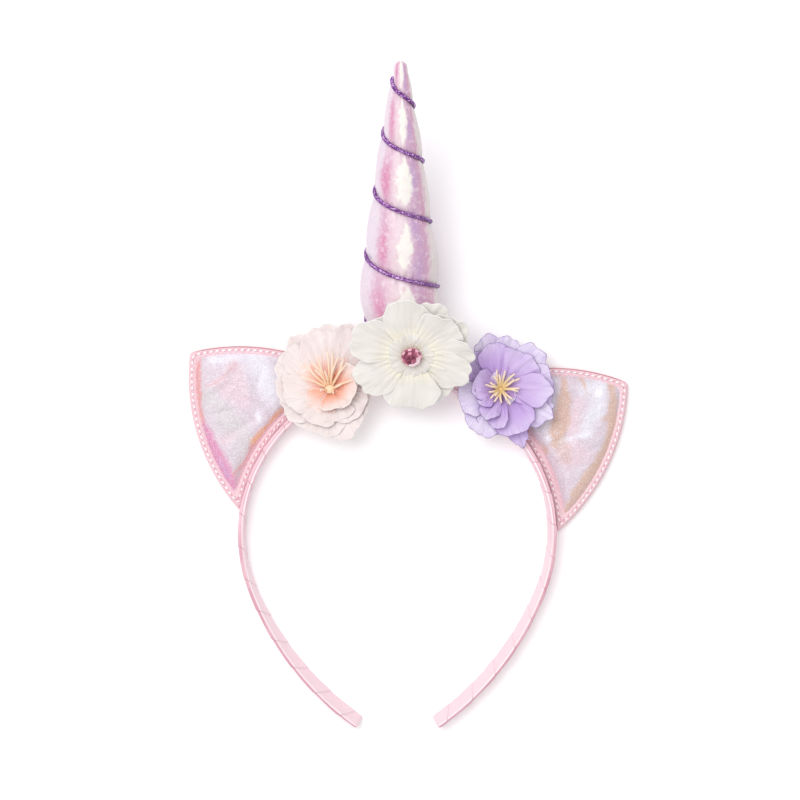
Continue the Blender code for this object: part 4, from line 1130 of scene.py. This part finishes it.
# The peach flower: thin, crinkled cloth petals, long and gathered above and short below, with an orange
# heart, a folded inner edge and a fan of cream stamens.

PEACH, PEACH_SHADE, PEACH_RIM = rgb(237, 227, 225), rgb(231, 214, 210), rgb(242, 234, 232)
peach = petal_cloth(
    "peach_petal_cloth", "peach_petal", rgb(246, 190, 170), PEACH, PEACH_SHADE, PEACH_RIM, 0.05, 0.16, 0.42
)
PEACH_BACK = [
    (121, 26.6, 8.6, 1.6, *OPEN, 0.1), (98, 27.2, 8.6, 1.8, 0.5, 0.3, 0.3, 0.3, 0.0),
    (74, 28.0, 8.6, 1.8, *OPEN, 0.1), (146, 24.6, 9.0, 1.6, *OPEN, 0.0), (172, 21.6, 9.6, 1.6, *OPEN, 0.0),
    (-155, 21.0, 8.6, 1.0, *LOW, 0.0), (-128, 19.8, 8.6, 0.9, *LOW, 0.1), (-99, 19.4, 9.0, 0.9, *LOW, 0.0),
    (-68, 21.2, 9.0, 0.9, *LOW, 0.1), (-30, 17.6, 9.0, 1.0, *LOW, 0.0), (38, 19.0, 9.0, 1.8, *OPEN, 0.0),
]
PEACH_FRONT = [
    (132, 23.4, 8.6, 1.8, *EASY, 0.0), (104, 25.0, 9.0, 2.0, *EASY, 0.1), (77, 25.6, 8.6, 2.2, *EASY, 0.0),
    (160, 20.0, 8.6, 1.8, *EASY, 0.0), (-172, 18.6, 9.0, 2.4, 0.8, 0.6, 0.2, 0.6, 0.0),
    (-131, 15.6, 11.4, 1.6, 0.6, 0.4, 0.2, 0.6, 0.0), (-84, 13.6, 9.4, 1.8, 0.6, 0.5, 0.2, 0.6, 0.1),
    (-38, 16.4, 8.6, 1.6, 0.6, 0.5, 0.2, 0.6, 0.0),
]
PEACH_HEART = [
    (92, 17.0, 9.0, 0.5, *DEEP, 0.0), (130, 16.0, 9.0, 0.5, *DEEP, 0.0), (176, 13.5, 9.0, 0.5, *DEEP, 0.0),
    (-126, 10.4, 8.0, 1.4, 0.2, 0.3, -0.6, 0.5, 0.0), (-72, 9.4, 6.8, 6.0, 0.4, 0.9, -0.5, 1.6, 0.0),
    (-20, 10.6, 7.4, 7.4, 0.4, 0.9, -0.5, 2.0, 0.0), (34, 12.6, 6.6, 6.4, 0.4, 0.8, -0.5, 1.8, 0.0),
]
petal_layer(
    "peach", "back", PEACH_BACK, 0.3, peach, "ribbon_band", [calyx(0.9)], 41,
    pleat=0.5, ruffle=1.2, ripple=0.45,
)
petal_layer(
    "peach", "front", PEACH_FRONT, 1.3, peach, "peach_back_layer", seed=51, pleat=0.6, ruffle=1.2, ripple=0.45
)
GLOW, GLOW_SHADE, GLOW_RIM = rgb(240, 224, 219), rgb(243, 210, 200), rgb(245, 234, 231)
glow = petal_cloth(
    "peach_heart_cloth", "peach_petal", rgb(248, 176, 148), GLOW, GLOW_SHADE, GLOW_RIM, 0.12, 0.32, 0.56
)
petal_layer(
    "peach", "heart", PEACH_HEART, 2.5, glow, "peach_front_layer", seed=61,
    ripple=0.4, pleat=0.4, rows=21, columns=25,
)


def make_stamens(flower, tips, paint, root, thickness, bead, level=3.2, bow=0.25, rows=14):
    """Filaments from a small round root to their tips, in mm: each a tapered tube on a bowed line.

    The line leaves the root steeply and bows outward, and the tube swells to a bead at its end. A flat
    knob closes the root.
    """
    grids = []
    share = np.linspace(0, 1, rows)
    for order, (x, y, z) in enumerate(tips):
        away = math.atan2(y, x)
        start = np.array([root * math.cos(away), root * math.sin(away), level])
        side = 0.06 * math.hypot(x, y) * math.sin(order * 2.4)
        bowed = np.array([-side * math.sin(away), side * math.cos(away), bow * z])
        line = start + (np.array([x, y, level + z]) - start) * share[:, None]
        line += np.sin(math.pi * share)[:, None] * bowed
        radius = thickness * (1.25 - 0.55 * share) + bead * bell(share - 0.955, 0.045)
        radius[0] = radius[-1] = 0.0
        grids.append(tube(line, [0.0, 0.0, 1.0], radius[:, None], math.pi / 2 - circle(8)) * MM)
    up = np.linspace(0, math.pi, 9)
    grids.append(lathe((root + 1.2 * thickness) * np.sin(up), level + 0.6 * root * np.cos(up), circle(16)))
    make_piece(f"{flower}_stamen_fan", to_flower(grids, flower), paint, [f"{flower}_stamens"])


def stamen_paint(name, root, tip):
    """Waxed thread that is darker at the root, with a paler tip."""
    paint = Paint(name, 0.5, "stamen")
    colour = paint.blend(paint.fit(paint.parts(paint.uv())[1], 0.1, 0.8), root, tip)
    return paint.finish(colour, paint.relief(paint.grain(1500.0, 1.0), 0.06 * MM))


PEACH_TIPS = [
    (-11.3, 4.1, 4.5), (-9.5, 8.8, 4.5), (-7.7, 10.3, 4.8), (-4.6, 11.6, 5.5), (-1.0, 14.8, 4.6),
    (0.9, 14.1, 5.2), (3.9, 12.4, 5.0), (5.7, 11.6, 4.6), (6.7, 8.8, 5.4), (10.3, 2.6, 4.6),
    (-6.0, 6.4, 6.2), (2.2, 8.0, 6.8), (-2.0, 6.0, 6.5), (-3.8, -1.8, 5.0), (1.6, -3.0, 4.6),
    (4.6, 0.4, 5.8),
]
cream_stamens = stamen_paint("cream_stamens", rgb(250, 216, 182), rgb(252, 226, 205))
make_stamens("peach", PEACH_TIPS, cream_stamens, 1.5, 0.44, 0.12)

# The purple flower: ruffled lilac petals with a thin dark seared rim, cupped round pale yellow stamens.

LILAC, LILAC_SHADE, LILAC_RIM = rgb(234, 225, 243), rgb(204, 184, 227), rgb(142, 110, 172)
lilac = petal_cloth(
    "lilac_petal_cloth", "purple_petal", rgb(192, 154, 212), LILAC, LILAC_SHADE, LILAC_RIM, 0.030, 0.14,
    dark=rgb(192, 158, 220),
)
PURPLE_BACK = [
    (105, 22.2, 7.6, 2.0, *ROUND, 0.1), (80, 21.4, 7.4, 2.2, 0.7, 0.5, 0.3, 0.5, 0.0),
    (43, 23.2, 8.2, 2.0, *ROUND, 0.0), (12, 22.0, 8.2, 2.0, *ROUND, 0.2), (-15, 22.6, 6.0, 1.6, *ROUND, 0.8),
    (-33, 23.4, 7.0, 1.6, *ROUND, 0.1), (-68, 25.2, 4.2, -0.6, 0.3, 0.9, -0.6, 0.2, 0.9),
    (-98, 18.8, 8.0, 1.8, *ROUND, 0.0), (-119, 20.6, 8.4, 2.0, *ROUND, 0.0),
    (-161, 17.8, 7.6, 2.6, 0.7, 0.5, 0.3, 0.6, 0.0), (133, 18.4, 7.4, 2.2, *ROUND, 0.8),
]
PURPLE_FRONT = [
    (50, 17.8, 11.2, 2.8, 0.9, 0.9, 0.0, 0.7, 0.7), (101, 19.0, 6.8, 3.6, 0.6, 1.6, 0.4, 1.2, 0.95),
    (-3, 20.4, 7.8, 3.6, 0.8, 1.8, 1.0, 1.2, 0.7), (-66, 20.0, 8.8, 3.0, 0.9, 1.4, 0.2, 1.0, 0.9),
    (-97, 16.6, 4.6, 4.6, 1.6, 1.4, 0.6, 0.8, 0.9), (-118, 13.6, 5.0, 5.4, 1.4, 1.2, 0.6, 0.8, 0.8),
    (168, 11.4, 7.0, 6.6, 0.6, 1.2, 0.4, 1.2, 0.8), (-160, 10.4, 6.0, 5.4, 0.6, 1.0, 0.2, 0.8, 0.9),
]
PURPLE_HEART = [(90 + 72 * step, 7.2, 4.6, 1.2, 0.5, 0.6, -0.3, 0.4, 0.15) for step in range(5)]
petal_layer(
    "purple", "back", PURPLE_BACK, 0.3, lilac, "ribbon_band", [calyx(2.4)], 71,
    ripple=0.75, waves=3.1, ruffle=1.6, fold=0.7,
)
petal_layer(
    "purple", "front", PURPLE_FRONT, 1.6, lilac, "purple_back_layer", seed=81,
    ripple=0.7, waves=2.7, pleat=0.35, ruffle=1.5, fold=1.0,
)
petal_layer(
    "purple", "heart", PURPLE_HEART, 2.5, lilac, "purple_front_layer", seed=91,
    ripple=0.5, pleat=0.3, rows=19, columns=23,
)
purple_order = np.arange(20)
purple_angles = np.radians(purple_order * 18 + 9 * np.sin(purple_order * 1.7))
purple_reach = 6.4 + 1.2 * np.sin(purple_order * 2.3) + 1.4 * np.cos(purple_angles - 0.4)
purple_ways = np.stack([np.cos(purple_angles), np.sin(purple_angles)])
purple_tips = [*(purple_reach * purple_ways), 5.6 - 0.25 * purple_reach]
yellow_stamens = stamen_paint("yellow_stamens", rgb(232, 204, 150), rgb(243, 222, 196))
make_stamens("purple", zip(*purple_tips), yellow_stamens, 0.8, 0.46, 0.06)
